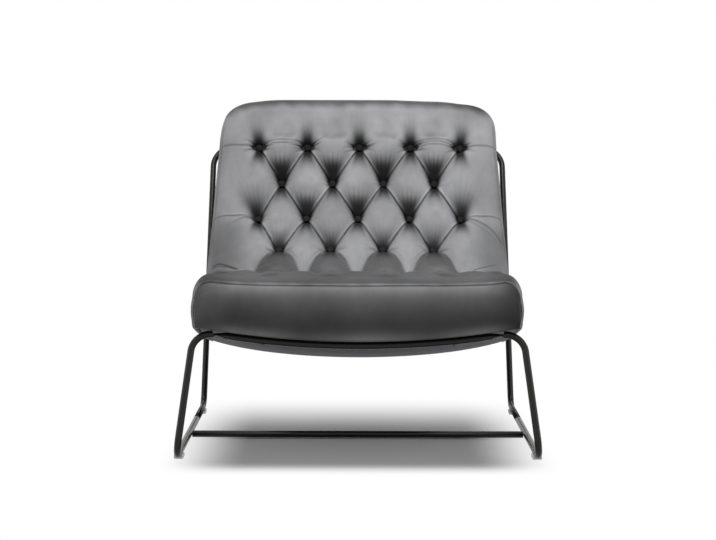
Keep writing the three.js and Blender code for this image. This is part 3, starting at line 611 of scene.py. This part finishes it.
# The sheet's lines along the chair: even steps from one button row to the next, so that pleats run
# through its corners, then steps by angle over the rounded top edge.
straight = length - EDGE
stops = [0] + [run_of_row(row) for row in (8, 7, 6, 5, 4, 3, 2, 1)] + [straight]
along = [0.0]
for k, (low, high) in enumerate(zip(stops, stops[1:])):
    steps = round((high - low) / GRID) if k in (0, len(stops) - 2) else STEPS
    along += list(np.linspace(low, high, steps + 1)[1:])
turns = np.linspace(0, math.pi / 2, round(EDGE * 1.4 / GRID) + 1)[1:]
along = np.concatenate([along, straight + EDGE * np.sin(turns)])
# Its lines across: even steps over the buttons, over the flank, then by angle over the side's round.
FLANK_RUN, SIDE_RUN = 0.066, 0.070
core = np.arange(-4 * STEPS, 4 * STEPS + 1) * PITCH / STEPS
flank = np.linspace(0, 1, round(FLANK_RUN / GRID) + 1)[1:]
side_turn = np.linspace(0, math.pi / 2, round(SIDE_RUN / GRID) + 1)[1:]


def at_lines(values):
    """The stations' numbers, or pairs of them, drawn straight on to the sheet's lines."""
    values = np.array(values, float).T
    return np.array([np.interp(along, knots, v) for v in np.atleast_2d(values)]).T


crown = smooth_table(knots, crowns, along)
foot = at_lines([s.foot for s in stations])
HALF, follow, lift, side_share = (
    at_lines([getattr(s, name) for s in stations]) for name in ("half", "follow", "lift", "side")
)


def across(width):
    """The lines across at one line along, for a half width."""
    inner = width - EDGE
    flat, turned = core[-1] + flank * (inner - core[-1]), inner + EDGE * np.sin(side_turn)
    right = np.concatenate([flat, turned])
    return np.concatenate([-right[::-1], core, right])


X = np.array([across(width) for width in HALF[:, 0]])
RUN = np.repeat(along[:, None], X.shape[1], axis=1)

# Rounded top corners: the square corner of the sheet is pressed into a quarter round.
corner_start = length - CORNER
p = ramp(np.abs(X) - (HALF - CORNER), CORNER)
q = ramp(RUN - corner_start, CORNER)
p_round, q_round = quarter_round(p, q)
pressed = (p > 0) & (q > 0)
X = np.where(pressed, np.sign(X) * (HALF - CORNER + CORNER * p_round), X)
FELL = np.where(pressed, CORNER * (q_round - q), 0.0)
# Hand-cut foam isn't even: the top edge drops towards its corners, more to the right, and the
# seat stands out a little to the left.
DROOPS = (  # place across, reach, drop
    (0.305, 0.055, 0.009), (-0.300, 0.050, 0.005), (-0.345, 0.055, 0.0057),
)
near_top = ramp(RUN - (length - 0.16), 0.16) ** 2
droop = 0.003 * ramp(X - 0.10, 0.08) + sum(drop * bell(X - at, reach) for at, reach, drop in DROOPS)
FELL = FELL - near_top * droop
left_share = np.clip(-X / HALF, 0, 1) ** 4
on_seat = ramp(run_of_row(5) - RUN, 0.05)
X = X + left_share * (0.0045 * bell(RUN - length + 0.055, 0.040) - 0.0042 * on_seat)
reach_in = np.maximum(np.where(q > 0, 1 - np.hypot(p_round, q_round), 1 - p) * CORNER, 0)
sine = np.clip(1 - reach_in / EDGE, 0, 1)
ROUND = side_share + (1 - side_share) * np.sqrt(np.maximum(0, 1 - sine * sine))

SEAT_SWELL, BACK_SWELL = 0.009, 0.007
rise = np.linalg.norm(crown - foot, axis=1)[:, None]
direction = (crown - foot) / rise
on_back = ramp(along - run_of_row(5), run_of_row(4) - run_of_row(5))[:, None]
share = np.abs(X) / HALF
swell = (1 - on_back) * SEAT_SWELL * share**4 + on_back * BACK_SWELL * (1 - share**2)
height = (rise + lift * swell) * ROUND
up = np.array([math.sin(LEAN), math.cos(LEAN)])
Y = foot[:, 0:1] + direction[:, 0:1] * height + FELL * up[0]
Z = foot[:, 1:2] + direction[:, 1:2] * height + FELL * up[1] + follow * bow(X)
S = RUN + FELL
sheet = np.stack([X, Y, Z], axis=-1)


def outward(points):
    """Unit directions square to a sheet of points, out of the pad."""
    normal = np.cross(np.gradient(points, axis=1), np.gradient(points, axis=0))
    return normal / np.maximum(np.linalg.norm(normal, axis=-1, keepdims=True), 1e-9)


# Tufting: buttons at every other half pitch, pits round them and pleats from each to the next.
# They are placed by hand, so some stand a few millimetres off across their row.
ASTRAY = {
    1: (0.006, 0, 0.004, 0.005, 0.003), 3: (0.008, 0, 0, 0, 0), 4: (-0.002, -0.004, -0.003, -0.007),
}
OUTER = 4 * PITCH


def cells_of(row):
    """Half pitches from the middle at which a row's buttons stand: five on odd rows, four on even."""
    return range(-4, 5, 2) if row % 2 else range(-3, 4, 2)


def button_x(row, cell):
    """Where a button stands across its row."""
    return cell * PITCH + ASTRAY.get(row, (0,) * 5)[(cell + (4 if row % 2 else 3)) // 2]


buttons = []
for row in (1, 2, 3, 4, 6, 7, 8):
    for k, cell in enumerate(cells_of(row), 1):
        buttons.append((row, k, button_x(row, cell), run_of_row(row)))


def nearest(points, reach, steps=8):
    """Where a curved line through the sheet's own lengths passes: mask, distance, share, side."""
    (ax, ay), (cx, cy), (bx, by) = points
    near = (X > min(ax, bx, cx) - reach) & (X < max(ax, bx, cx) + reach)
    near &= (S > min(ay, by, cy) - reach) & (S < max(ay, by, cy) + reach)
    x, s = X[near], S[near]
    t = np.linspace(0, 1, steps + 1)
    px = (1 - t) ** 2 * ax + 2 * t * (1 - t) * cx + t * t * bx
    py = (1 - t) ** 2 * ay + 2 * t * (1 - t) * cy + t * t * by
    best, where, side = np.full(x.shape, 9.0), np.zeros(x.shape), np.zeros(x.shape)
    for k in range(steps):
        dx, dy = px[k + 1] - px[k], py[k + 1] - py[k]
        u = np.clip(((x - px[k]) * dx + (s - py[k]) * dy) / (dx * dx + dy * dy), 0, 1)
        off_x, off_y = x - px[k] - u * dx, s - py[k] - u * dy
        d = np.hypot(off_x, off_y)
        closer = d < best
        where = np.where(closer, (k + u) / steps, where)
        side = np.where(closer, np.sign(off_y * dx - off_x * dy) * np.sign(dx), side)
        best = np.minimum(best, d)
    return near, best, where, side


def groove(field, points, width, depth, keep=max, power=1.0, ends=(1, 1), above=1.0):
    """Draws a line into a field, its strength going from one end's to the other's."""
    near, best, where, side = nearest(points, 5 * width)
    best = np.where(side > 0, best / above, best)
    strength = depth * (ends[0] + (ends[1] - ends[0]) * where) * bell(best, width, power)
    field[near] = np.maximum(field[near], strength) if keep is max else field[near] + strength


def lit_edge(field, points, away, width, strength):
    """A thin painted highlight along the upper side of a curved line."""
    near, best, where, side = nearest(points, 4 * away)
    line = strength * bell(best - away, width) * (side > 0)
    line *= ramp(where, 0.2) * ramp(0.80 - where, 0.30)
    field[near] = np.maximum(field[near], line)


# Pleats run from each button to the two below it; under the lowest row of the back they part in
# wide curves and leave a lobe between them. Each pleat gets painted shade along its bottom and a
# painted highlight along its upper side, and the lobes get painted shade.
pleat, valley, crease_shade, shine, lobe, lobe_shade = (np.zeros_like(X) for _ in range(6))
for row in range(1, 8):
    for cell in cells_of(row):
        for step in (-1, 1):
            if row == 4 or cell + step not in cells_of(row + 1):
                continue
            start = (button_x(row, cell), run_of_row(row))
            end = (button_x(row + 1, cell + step), run_of_row(row + 1))
            middle = ((start[0] + end[0]) / 2, (start[1] + end[1]) / 2)
            fold = (start, middle, end)
            groove(pleat, fold, 0.0042, 1, above=0.3)
            groove(valley, fold, 0.023, 1, power=2)
            groove(crease_shade, fold, 0.0018, 0.96, power=2.0, above=0.7)
            lit_edge(shine, fold, 0.0038, 0.0012, 0.9)
LOBE_HALF, LOBE_DROP = 0.0535, 0.070
LOBE_FOLD, LOBE_VALLEY, LOBE_CREASE_SHADE = 0.0032, 0.018, 0.0026
INNER_FOLDS = ((0.0085, 0.42), (0.0170, 0.30), (-0.0080, 0.26))  # place inside the arc, darkness of painted shade
under_row = run_of_row(4) - 0.004 - S
bound = LOBE_HALF * (np.clip(under_row, 0, None) / LOBE_DROP) ** 0.55
weaker = np.clip(1.2 - under_row / LOBE_DROP, 0.2, 1)
for cell in cells_of(4):
    off = X - button_x(4, cell)
    gap = (np.abs(off) - bound) * 0.75
    within = np.clip(0.5 - gap / 0.006, 0, 1)
    low = ramp(0.098 - under_row, 0.02) * ramp(under_row, 0.004) * (np.abs(off) < PITCH)
    to_crease = ramp(0.150 - under_row, 0.03) * ramp(under_row, 0.004)
    lobe = np.maximum(lobe, low * within)
    lobe_shade = np.maximum(lobe_shade, to_crease * within)
    pleat = np.maximum(pleat, low * 0.8 * np.exp(-np.abs(gap) / LOBE_FOLD))
    valley = np.maximum(valley, low * 0.8 * bell(gap, LOBE_VALLEY))
    crease_shade = np.maximum(crease_shade, low * 0.78 * weaker * bell(gap, LOBE_CREASE_SHADE))
    beside = ramp(np.abs(off) - 0.012, 0.008) * ramp(0.050 - under_row, 0.02)
    one_side = 0.6 + 0.4 * np.sign(off) * (-1) ** (cell // 2)
    for inner, dark in INNER_FOLDS:
        crease_shade = np.maximum(crease_shade, low * beside * dark * one_side * bell(gap + inner, 0.0023))
between = ramp(run_of_row(3.5) - S, 0.07) ** 2 * ramp(S - run_of_row(5.1), 0.02)
between *= ramp(4.3 * PITCH - np.abs(X), 0.02) * (1 - lobe)

field_share = eased((4.9 * PITCH - np.abs(X)) / (0.9 * PITCH))
field_share *= eased((run_of_row(0.35) - S) / 0.075) * eased((S - run_of_row(8.7)) / 0.06)
well, dip, fan = (np.zeros_like(X) for _ in range(3))
# Fans: painted shade in wedges over each button, where the cloth slopes down into its pit; they widen
# upwards. By row: height, sharpness of the upper end, half width at the button and its growth. The
# outer ones lean. The seat's are the last.
FANS = {
    1: (0.046, 3.4, 0.0150, 0.06), 2: (0.066, 8.0, 0.0140, 0.31), 3: (0.062, 7.0, 0.0140, 0.31),
    4: (0.044, 4.0, 0.0128, 0.30), "seat": (0.040, 6.0, 0.0140, 0.31),
}
OUTER_FAN_EDGE = 3.6
FAN_LEAN, FAN_LEANS = -0.03, {(3, 1): -0.26, (3, 5): 0.16, (1, 1): -0.12, (1, 5): 0.10}
FAN_DARK, HAZE_DARK, BELOW_SHADE_DARK, SEAT_FANS = 0.955, 0.40, 0.96, 0.7
# The shelf under a button is seen from its edge: the painted shade below a button starts past it.
SHELF, BELOW_SHADE_REACH = 0.020, 0.033
crease_places = [(5, 0, cell * PITCH, run_of_row(5)) for cell in cells_of(5)]
for row, k, x, s in buttons + crease_places:
    dx, ds = X - x, S - s
    far_from = np.hypot(dx, ds)
    if row == 5:
        dip += (0.95 * bell(far_from, 0.040, 1.4)) ** 4
        continue
    above = np.clip(ds / np.maximum(far_from, 1e-6), 0, 1) ** 1.5 * (1 if row < 5 else 0.3)
    well = np.maximum(well, bell(far_from, 0.0128))
    dip += bell(far_from, 0.020 + 0.046 * above, 1.3) ** 4
    high, edge, narrow, opening = FANS[row if row < 5 else "seat"]
    outer = row == 3 and k in (1, 5)
    up_from, down_from = np.clip(ds, 0, None), np.clip(-ds - SHELF, 0, None)
    leaning = dx - FAN_LEANS.get((row, k), FAN_LEAN) * up_from
    side_x, spray = np.abs(leaning), np.arctan2(leaning, ds + 0.03)
    width = narrow + opening * up_from
    streak = 1 + 0.040 * np.sin(53 * spray + 5 * x / PITCH + row)
    streak += 0.035 * np.sin(97 * spray + 3 * row + k)
    across_fan = 1 / (1 + (side_x / width) ** (4 if outer or row == 1 else 6))
    rising = across_fan / (1 + (up_from * streak / high) ** (OUTER_FAN_EDGE if outer else edge))
    haze = bell(up_from, 1.25 * high, 4) * bell(side_x, 1.35 * width, 4)
    rising = np.maximum(FAN_DARK * rising, HAZE_DARK * haze)
    falling = BELOW_SHADE_DARK * bell(down_from * streak, BELOW_SHADE_REACH, 2.2)
    falling /= 1 + (np.abs(dx) / (0.0115 + 0.30 * down_from)) ** 6
    fan = np.maximum(fan, np.where(ds > 0, rising, falling) * (1 if row < 5 else SEAT_FANS))
PUFF, VALLEY_DEPTH, WELL_DEPTH, DIP_DEPTH = 0.009, 0.0045, 0.0065, 0.0150
depth = VALLEY_DEPTH * valley + WELL_DEPTH * well + DIP_DEPTH * dip**0.25
depth -= PUFF * field_share * (1 - valley)

# Level folds out to the sides, and creases where the cover is pulled.
fine = 0.0075 * pleat


def crease(points, width, deep, dark=0.5, ends=(1, 0.2)):
    """A sharp fold of the cloth: a groove with painted shade along its bottom."""
    groove(fine, points, width, deep, sum, ends=ends)
    groove(crease_shade, points, max(width * 0.62, 0.0021), dark, power=2.0, ends=ends)


for row in (1, 3):
    s = run_of_row(row)
    for sign in (-1, 1):
        fold = ((sign * (OUTER + 0.004), s), (sign * 0.34, s + 0.007), (sign * 0.40, s + 0.002))
        crease(fold, 0.0038, 0.0030, 0.66, ends=(1, 0.6))
BY_ROW_THREE = (
    # side, three places out from the outer button and over its row, width, depth, painted shade, ends
    (1, ((0.012, -0.003), (0.070, -0.012), (0.105, -0.068)), 0.0044, 0.0034, 0.74, (1, 0.6)),
    (1, ((0.010, -0.010), (0.055, -0.022), (0.090, -0.070)), 0.0040, 0.0022, 0.50, (1, 0.2)),
    (-1, ((0.010, -0.002), (0.045, -0.004), (0.072, -0.026)), 0.0045, 0.0030, 0.50, (1, 0.2)),
)
for sign, places, *looks in BY_ROW_THREE:
    crease([(sign * (OUTER + out), run_of_row(3) + over) for out, over in places], *looks)
OVER_THE_SEAT = (
    # three places across and their rows, width, depth, painted shade, ends
    (((-0.374, 4.84), (-0.344, 4.80), (-0.312, 5.06)), 0.0068, 0.0040, 0.97, (0.6, 1)),
    (((-0.378, 4.98), (-0.358, 4.97), (-0.340, 5.04)), 0.0050, 0.0024, 0.60, (1, 1)),
    (((0.355, 4.86), (0.325, 4.90), (0.292, 5.06)), 0.0050, 0.0034, 0.80, (0.5, 1)),
)
for places, *looks in OVER_THE_SEAT:
    crease([(x, run_of_row(row)) for x, row in places], *looks)
top_left = [(x, length - down) for x, down in ((-0.358, 0.056), (-0.346, 0.046), (-0.338, 0.034))]
crease(top_left, 0.0045, 0.0018, 0.50, ends=(1, 0.4))

# Gathers: short creases that fan out of each button, long ones across the outer gaps of the top row.
GATHERS = {1: (5, 1.0), 4: (4, 0.7)}  # by row: creases on each side of a button and their strength
GATHER_START = 0.011
draw = np.random.default_rng(7)
for row, k, x, s in buttons:
    rays, strong = GATHERS.get(row, (2, 0.4))
    for sign in (-1, 1):
        for ray in range(rays):
            if row == 4:
                turn = math.radians(-62 + 66 * (ray + 0.5) / rays)
            else:
                turn = math.radians(-36 + 72 * (ray + 0.5) / rays + draw.uniform(-5, 5))
            reach = draw.uniform(0.032, 0.052) * (1 if row in (1, 4) else 0.65)
            bend = draw.uniform(-0.004, 0.004)
            out, over = sign * math.cos(turn), math.sin(turn)
            start = (x + GATHER_START * out, s + GATHER_START * over)
            end = (x + reach * out, s + reach * over * 0.8)
            pull = ((start[0] + end[0]) / 2, (start[1] + end[1]) / 2 + bend)
            deep = 0.0032 * strong * draw.uniform(0.7, 1.2)
            crease((start, pull, end), 0.0036, deep, 0.96 * strong, ends=(1, 0.1))
row_one = run_of_row(1)
LONG_GATHERS = (
    # gap's side, height at its ends and at its middle over the row, depth
    (-1, 0.000, 0.008, 0.0022), (-1, 0.008, 0.014, 0.0018),
    (1, -0.004, 0.006, 0.0022), (1, 0.003, 0.012, 0.0026), (1, 0.010, 0.018, 0.0020),
)
for sign, low, high, deep in LONG_GATHERS:
    first, last = ((sign * at, row_one + low) for at in (OUTER - 0.008, OUTER / 2 + 0.008))
    middle = (sign * 3 * PITCH, row_one + high * 1.6)
    crease((first, middle, last), 0.0026, deep, 0.50, ends=(1, 0.9))

# The seam that joins the front's panel to the top's, sewn along the seat's front edge. Its groove
# gets a painted dark line for its shade, with a painted highlight above it.
seam_run = run_of_row(9.4) - 0.0050 - 0.0022 * (1 - (X / 0.36) ** 2)
seam_run += 0.011 * ramp(np.abs(X) - 0.30, 0.08) ** 1.5
seam_gap = np.abs(S - seam_run)
# Lips: the line above each dark crease line, raised a little and given a painted highlight.
lip = np.roll(crease_shade, 1, axis=0) * (1 - crease_shade)
fine += 0.0017 * np.exp(-seam_gap / 0.0022)
crease_shade = np.maximum(crease_shade, 0.80 * bell(seam_gap, 0.0023))
seam_shine = 0.55 * bell(S - seam_run - 0.0054, 0.0024)
# The sides' seams, where the front cover meets the boxing, get a painted dark line for their shade.
on_side = ramp(S - run_of_row(4.3), 0.02) * ramp(run_of_row(0.4) - S, 0.02)
crease_shade = np.maximum(crease_shade, 0.26 * on_side * bell(reach_in - 0.0085, 0.0024))

# Slow unevenness of the foam and the cloth.
wander = np.zeros_like(X)
for _ in range(14):
    fx, fs, shift = draw.uniform(-26, 26), draw.uniform(-26, 26), draw.uniform(0, math.tau)
    wander += np.sin(X * fx + S * fs + shift)
fine += 0.00022 * wander - 0.0006 * lip - 0.0005 * shine

fade = ramp(reach_in, 0.03)
sheet = sheet - outward(sheet) * (depth * fade)[..., None]

# Cloth: a simulation under light pressure on every second line of the sheet, held by the buttons,
# the pleats and the edges. Its moves are smoothed and laid back on the full sheet.
MOST_MOVE = 0.009
FRAMES = 20
RULES = dict(
    quality=4, mass=0.2, tension_stiffness=12, compression_stiffness=12, shear_stiffness=4,
    bending_stiffness=0.25, use_pressure=True, uniform_pressure_force=4, vertex_group_mass="held",
    pin_stiffness=1, shrink_min=-0.025,
)


def smoothed(moves, axes):
    """Moves whose neighbours are evened out along each axis in turn."""
    for axis in axes:
        moves = (np.roll(moves, 1, axis) + 2 * moves + np.roll(moves, -1, axis)) / 4
    return moves


def between_lines(values, picked, count, axis):
    """Values at picked lines of a sheet, laid on all of its lines along one axis."""
    at = np.arange(count)
    low = np.clip(np.searchsorted(picked, at, side="right") - 1, 0, len(picked) - 2)
    share = (at - picked[low]) / (picked[low + 1] - picked[low])
    share = share.reshape([-1 if k == axis else 1 for k in range(values.ndim)])
    return np.take(values, low, axis) * (1 - share) + np.take(values, low + 1, axis) * share


def settle(points, held):
    """Moves of a sheet of points after twenty frames of cloth under pressure."""
    rows, columns = (np.unique(np.append(np.arange(0, n, 2), n - 1)) for n in held.shape)
    bm = bmesh.new()
    bmesh.ops.create_grid(bm, x_segments=len(columns) - 1, y_segments=len(rows) - 1, size=0.5)
    cloth = add_piece("cloth_trial", bm)
    spot = np.empty(len(cloth.data.vertices) * 3)
    cloth.data.vertices.foreach_get("co", spot)
    spot = spot.reshape(-1, 3) + 0.5
    i, j = (np.rint(spot[:, k] * (len(n) - 1)).astype(int) for k, n in ((1, rows), (0, columns)))
    start = points[rows[i], columns[j]]
    cloth.data.vertices.foreach_set("co", start.astype(np.float32).ravel())
    group = cloth.vertex_groups.new(name="held")
    for index, weight in enumerate(held[rows[i], columns[j]]):
        group.add([index], float(weight), "REPLACE")
    made = cloth.modifiers.new("cloth", "CLOTH")
    for rule, value in RULES.items():
        setattr(made.settings, rule, value)
    made.settings.effector_weights.gravity = 0
    made.collision_settings.use_collision = False
    scene = bpy.context.scene
    for frame_at in range(1, FRAMES + 1):
        scene.frame_set(frame_at)
    settled = cloth.evaluated_get(bpy.context.evaluated_depsgraph_get())
    end = np.empty(len(spot) * 3)
    settled.data.vertices.foreach_get("co", end)
    scene.frame_set(1)
    moves = np.zeros((len(rows), len(columns), 3))
    moves[i, j] = end.reshape(-1, 3) - start
    bpy.data.objects.remove(cloth)
    size = np.linalg.norm(moves, axis=-1, keepdims=True)
    moves *= np.tanh(size / MOST_MOVE) * MOST_MOVE / np.maximum(size, 1e-9)
    moves = smoothed(moves, (0, 1, 0, 1))
    moves = between_lines(moves, rows, held.shape[0], 0)
    moves = between_lines(moves, columns, held.shape[1], 1)
    return smoothed(moves, (0, 1))


at_edge = 1 - eased(reach_in / 0.045)
at_front = 0.9 * eased((run_of_row(8.3) - S) / 0.05)
at_top = 0.6 * eased((S - run_of_row(1.0)) / 0.06)
steady = 0.5 * (1 - field_share) + 0.02
held = np.maximum.reduce([at_edge, 0.9 * pleat, 1.4 * well, steady, at_front, at_top])
sheet = sheet + settle(sheet, np.clip(held, 0, 1)) * eased(reach_in / 0.02)[..., None]

sheet = sheet - outward(sheet) * (fine * fade)[..., None]

# Painted light and shade on the cover's tone: painted shade where the cloth faces up, fully on the
# top edge and the seat and less on the back, and painted shade on the flanks and in the lobes.
UP_DARK, FLANK_DARK, LOW_FLANK_DARK, LOBE_DARK = 0.765, 0.13, 0.31, 0.61
on_seat_top = ramp(run_of_row(5.2) - S, 0.03)
rough_edge = 0.05 * np.sin(61 * X + 2) * np.sin(37 * X) + 0.015 * np.sin(140 * X + 90 * S)
facing_up = eased((outward(sheet)[..., 2] + rough_edge - 0.34) / 0.56)
tone_and_light_sheet = 1 - UP_DARK * facing_up * np.where(S > run_of_row(0.9), 1, 0.35 + 0.65 * on_seat_top)
# Painted shade on the flanks, more on their lower part, and in the lobes.
on_flank = eased((np.abs(X) - OUTER) / 0.075) * ramp(run_of_row(0.75) - S, 0.04)
low_flank = eased((run_of_row(2.9) - S) / 0.07) * (1 + 0.25 * wander / 5)
tone_and_light_sheet *= 1 - (FLANK_DARK + LOW_FLANK_DARK * low_flank) * on_flank
tone_and_light_sheet *= 1 - LOBE_DARK * lobe_shade * (1 - facing_up * on_seat_top)
# Slow random unevenness of tone, a little lighter to the right, and painted light between the lobes.
tone_and_light_sheet *= (1 + 0.028 * wander) * (1 + 0.07 * X / HALF) * (1 + 0.08 * between)
# The top edge is darker towards its right end.
tone_and_light_sheet *= 1 - 0.45 * bell(X - 0.325, 0.045) * bell(length - S - 0.030, 0.030)
# Painted light and shade on the front panel: pale under its seam, dark below and a painted highlight
# at its lip; its ends are even.
FRONT_END_LIGHT = (0.23, 0.10)  # left and right
under_seam = seam_run - S
down = np.clip(under_seam / run_of_row(9.4), 0, 1)
tongue = 1 + 0.22 * bell(X, 0.045) - 0.10 * bell(X + 0.26, 0.06)
front_centre_light = 0.135 + 0.40 * bell(down, 0.30 * tongue, 1.5)
front_centre_light += 0.34 * bell(S, 0.020) * (1 + 0.4 * np.sin(23 * X + 1.2))
end_share = ramp(np.abs(X) - 0.285, 0.075)
front_light = front_centre_light * (1 - end_share) + np.where(X < 0, *FRONT_END_LIGHT) * end_share
front_share = ramp(under_seam, 0.004)
tone_and_light_sheet = tone_and_light_sheet * (1 - front_share) + front_share * front_light
# Painted shade in the fans and along the creases, and painted highlights on the lips, along the
# pleats' upper sides and over the seam.
shade = np.clip(fan, 0, 1) * (1 - 0.5 * shine)
tone_and_light_sheet *= (1 - shade) * (1 - crease_shade) * (1 + 0.3 * lip + 0.75 * shine + seam_shine)

# The lattice: one flat grid drawn up into a thin block, whose top becomes the sheet, its sides the
# walls and the hem, and its bottom the foam's foot on the boards.
WALL = np.array([
    # share up the wall from the side foot (negative: towards the hem), inset from the half width
    (-0.45, 0.0130), (-0.92, 0.0126), (-1.0, 0.0090), (-0.94, 0.0050), (-0.76, 0.0022),
    (-0.4, 0.0008), (0.0, 0.0002), *((share, 0.0) for share in np.linspace(0, 1, 25)[1:]),
])
TUCK, TOP_FLARE, TOP_TUCK, BULGE = 0.013, 0.002, 0.0013, 0.003
levels = len(WALL) + 1
cover, line, column, level = lattice("upholstery_cover", *X.shape, levels)

# Places at the foot: the boards are bowed, so the seat's foot climbs towards the sides.
climb = at_lines([1 if s.row >= 5 else 0 for s in stations])
upright = (along < run_of_row(9.4) + 1e-6)[:, None]
slope = direction[:, 1:2] + math.tan(TILT) * direction[:, 0:1]
under_x = X * (1 - TUCK / HALF)
under_rise = climb / slope * bow(under_x)
under_y = foot[:, 0:1] + np.where(upright, 0, direction[:, 0:1] * under_rise)
under_z = foot[:, 1:2] + np.where(upright, bow(under_x), direction[:, 1:2] * under_rise)
under_fell = FELL - TOP_TUCK * q
bottom = np.stack([under_x, under_y + under_fell * up[0], under_z + under_fell * up[1]], axis=-1)

# Where the seat's foot turns up into the back's, it climbs along the back board instead of upwards.
swung = ramp(along - run_of_row(6), run_of_row(5) - run_of_row(6))[:, None]
along_board = up * math.cos(TILT) / math.cos(LEAN - TILT)
lifted = climb * bow(HALF - TUCK) * ((1 - swung) * np.array([0, 1.0]) + swung * along_board)
side_foot = at_lines([s.side_foot for s in stations]) + lifted
hem = at_lines([s.hem for s in stations]) + lifted

edge_x = np.clip(np.abs(X) - (HALF - CORNER), 0, None) * np.sign(X)
edge_s = np.clip(S - corner_start, 0, None)
edge_long = np.maximum(np.hypot(edge_x, edge_s), 1e-9)
nose_fade = np.clip(along / run_of_row(9.4), 0, 1)


def wall_places(line, column, level):
    """Places of the points on the walls, the hem and the front's lower edge."""
    share, inset = WALL[level - 1].T
    top = sheet[line, column]
    nx, ns = (edge[line, column] / edge_long[line, column] for edge in (edge_x, edge_s))
    fell = FELL[line, column][:, None] * up
    low, end = side_foot[line] + fell, hem[line] + fell
    rising = np.clip(share, 0, 1)
    side = low + (end - low) * np.clip(-share, 0, 1)[:, None]
    side = side + (top[:, 1:] - side) * rising[:, None]
    bulge = BULGE * np.sin(math.pi * rising) * nose_fade[line]
    flare = (TOP_FLARE - inset * TOP_TUCK / TUCK) * ns**2 * (1 - rising)
    side = side + (flare * np.abs(ns))[:, None] * up
    x = top[:, 0] + nx * (bulge - inset * nx**2) * (1 - ns**2)
    # The front's lower edge: a narrow band from the lip in to the board.
    up_share = (level / levels)[:, None]
    flat = bottom[line, column] * (1 - up_share) + top * up_share
    return np.where((line == 0)[:, None], flat, np.column_stack([x, side]))


mesh = cover.data
upper, lower = level == levels, level == 0
placed = np.empty((len(mesh.vertices), 3))
placed[upper] = sheet[line[upper], column[upper]]
placed[lower] = bottom[line[lower], column[lower]]
wall = ~(upper | lower)
placed[wall] = wall_places(line[wall], column[wall], level[wall])
mesh.vertices.foreach_set("co", placed.astype(np.float32).ravel())
# The cover's tone, with its painted light and shade, goes to its material as an attribute.
cover_tone_and_light = tone_and_light_sheet[line, column]
mesh.attributes.new("cover_tone_and_light", "FLOAT", "POINT").data.foreach_set("value", cover_tone_and_light.astype(np.float32))
mesh.update()
mesh.shade_smooth()
mesh.materials.append(velvet_cover)
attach(cover, "root")
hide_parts("seat_cushion", "back_cushion")

# Buttons: steel shells wrapped in the same velvet, on twine drawn through the foam and the boards.
# Each pulls the cover down to its seat and stands square to it. Their velvet is painted nearly black,
# with little sheen, as painted shade of their pits.
BUTTON_RADIUS, BUTTON_HEIGHT = 0.0095, 0.011
BUTTON_PROFILE = (  # shares of the radius and of the height
    (0, 0), (0.3, 0.2), (0.62, 0.5), (0.9, 0.6), (1.0, 0.7),
    (0.97, 0.8), (0.84, 0.9), (0.6, 0.965), (0.3, 0.992), (0, 1.0),
)
base_normals = outward(np.stack([X, Y, Z], axis=-1))
for row, k, x, s in buttons:
    part = "seat" if row > 5 else "back"
    source = f"tuft_button_{part}_r{row}_{k}"
    low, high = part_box(source)
    i = int(np.argmin(np.abs(along - s)))
    j = int(np.argmin(np.abs(X[i] - x)))
    normal = Vector(base_normals[i, j])
    bm = bmesh.new()
    rim = [bm.verts.new((BUTTON_RADIUS * a, 0, BUTTON_HEIGHT * b)) for a, b in BUTTON_PROFILE]
    rim += [bm.edges.new(pair) for pair in zip(rim, rim[1:])]
    bmesh.ops.spin(
        bm, geom=rim, angle=math.tau, steps=28, axis=(0, 0, 1), cent=(0, 0, 0), use_merge=True
    )
    bmesh.ops.remove_doubles(bm, verts=bm.verts, dist=1e-5)
    bmesh.ops.recalc_face_normals(bm, faces=bm.faces)
    middle = (low + high) / 2 - normal * BUTTON_HEIGHT / 2
    middle.x = x
    stand = Matrix.Translation(middle) @ normal.to_track_quat("Z", "Y").to_matrix().to_4x4()
    bmesh.ops.transform(bm, matrix=stand, verts=bm.verts)
    for face in bm.faces:
        face.smooth = True
    piece = add_piece(f"covered_button_{part}_r{row}_{k}", bm)
    piece.data.materials.append(velvet_button)
    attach(piece, "root")
    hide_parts(source)
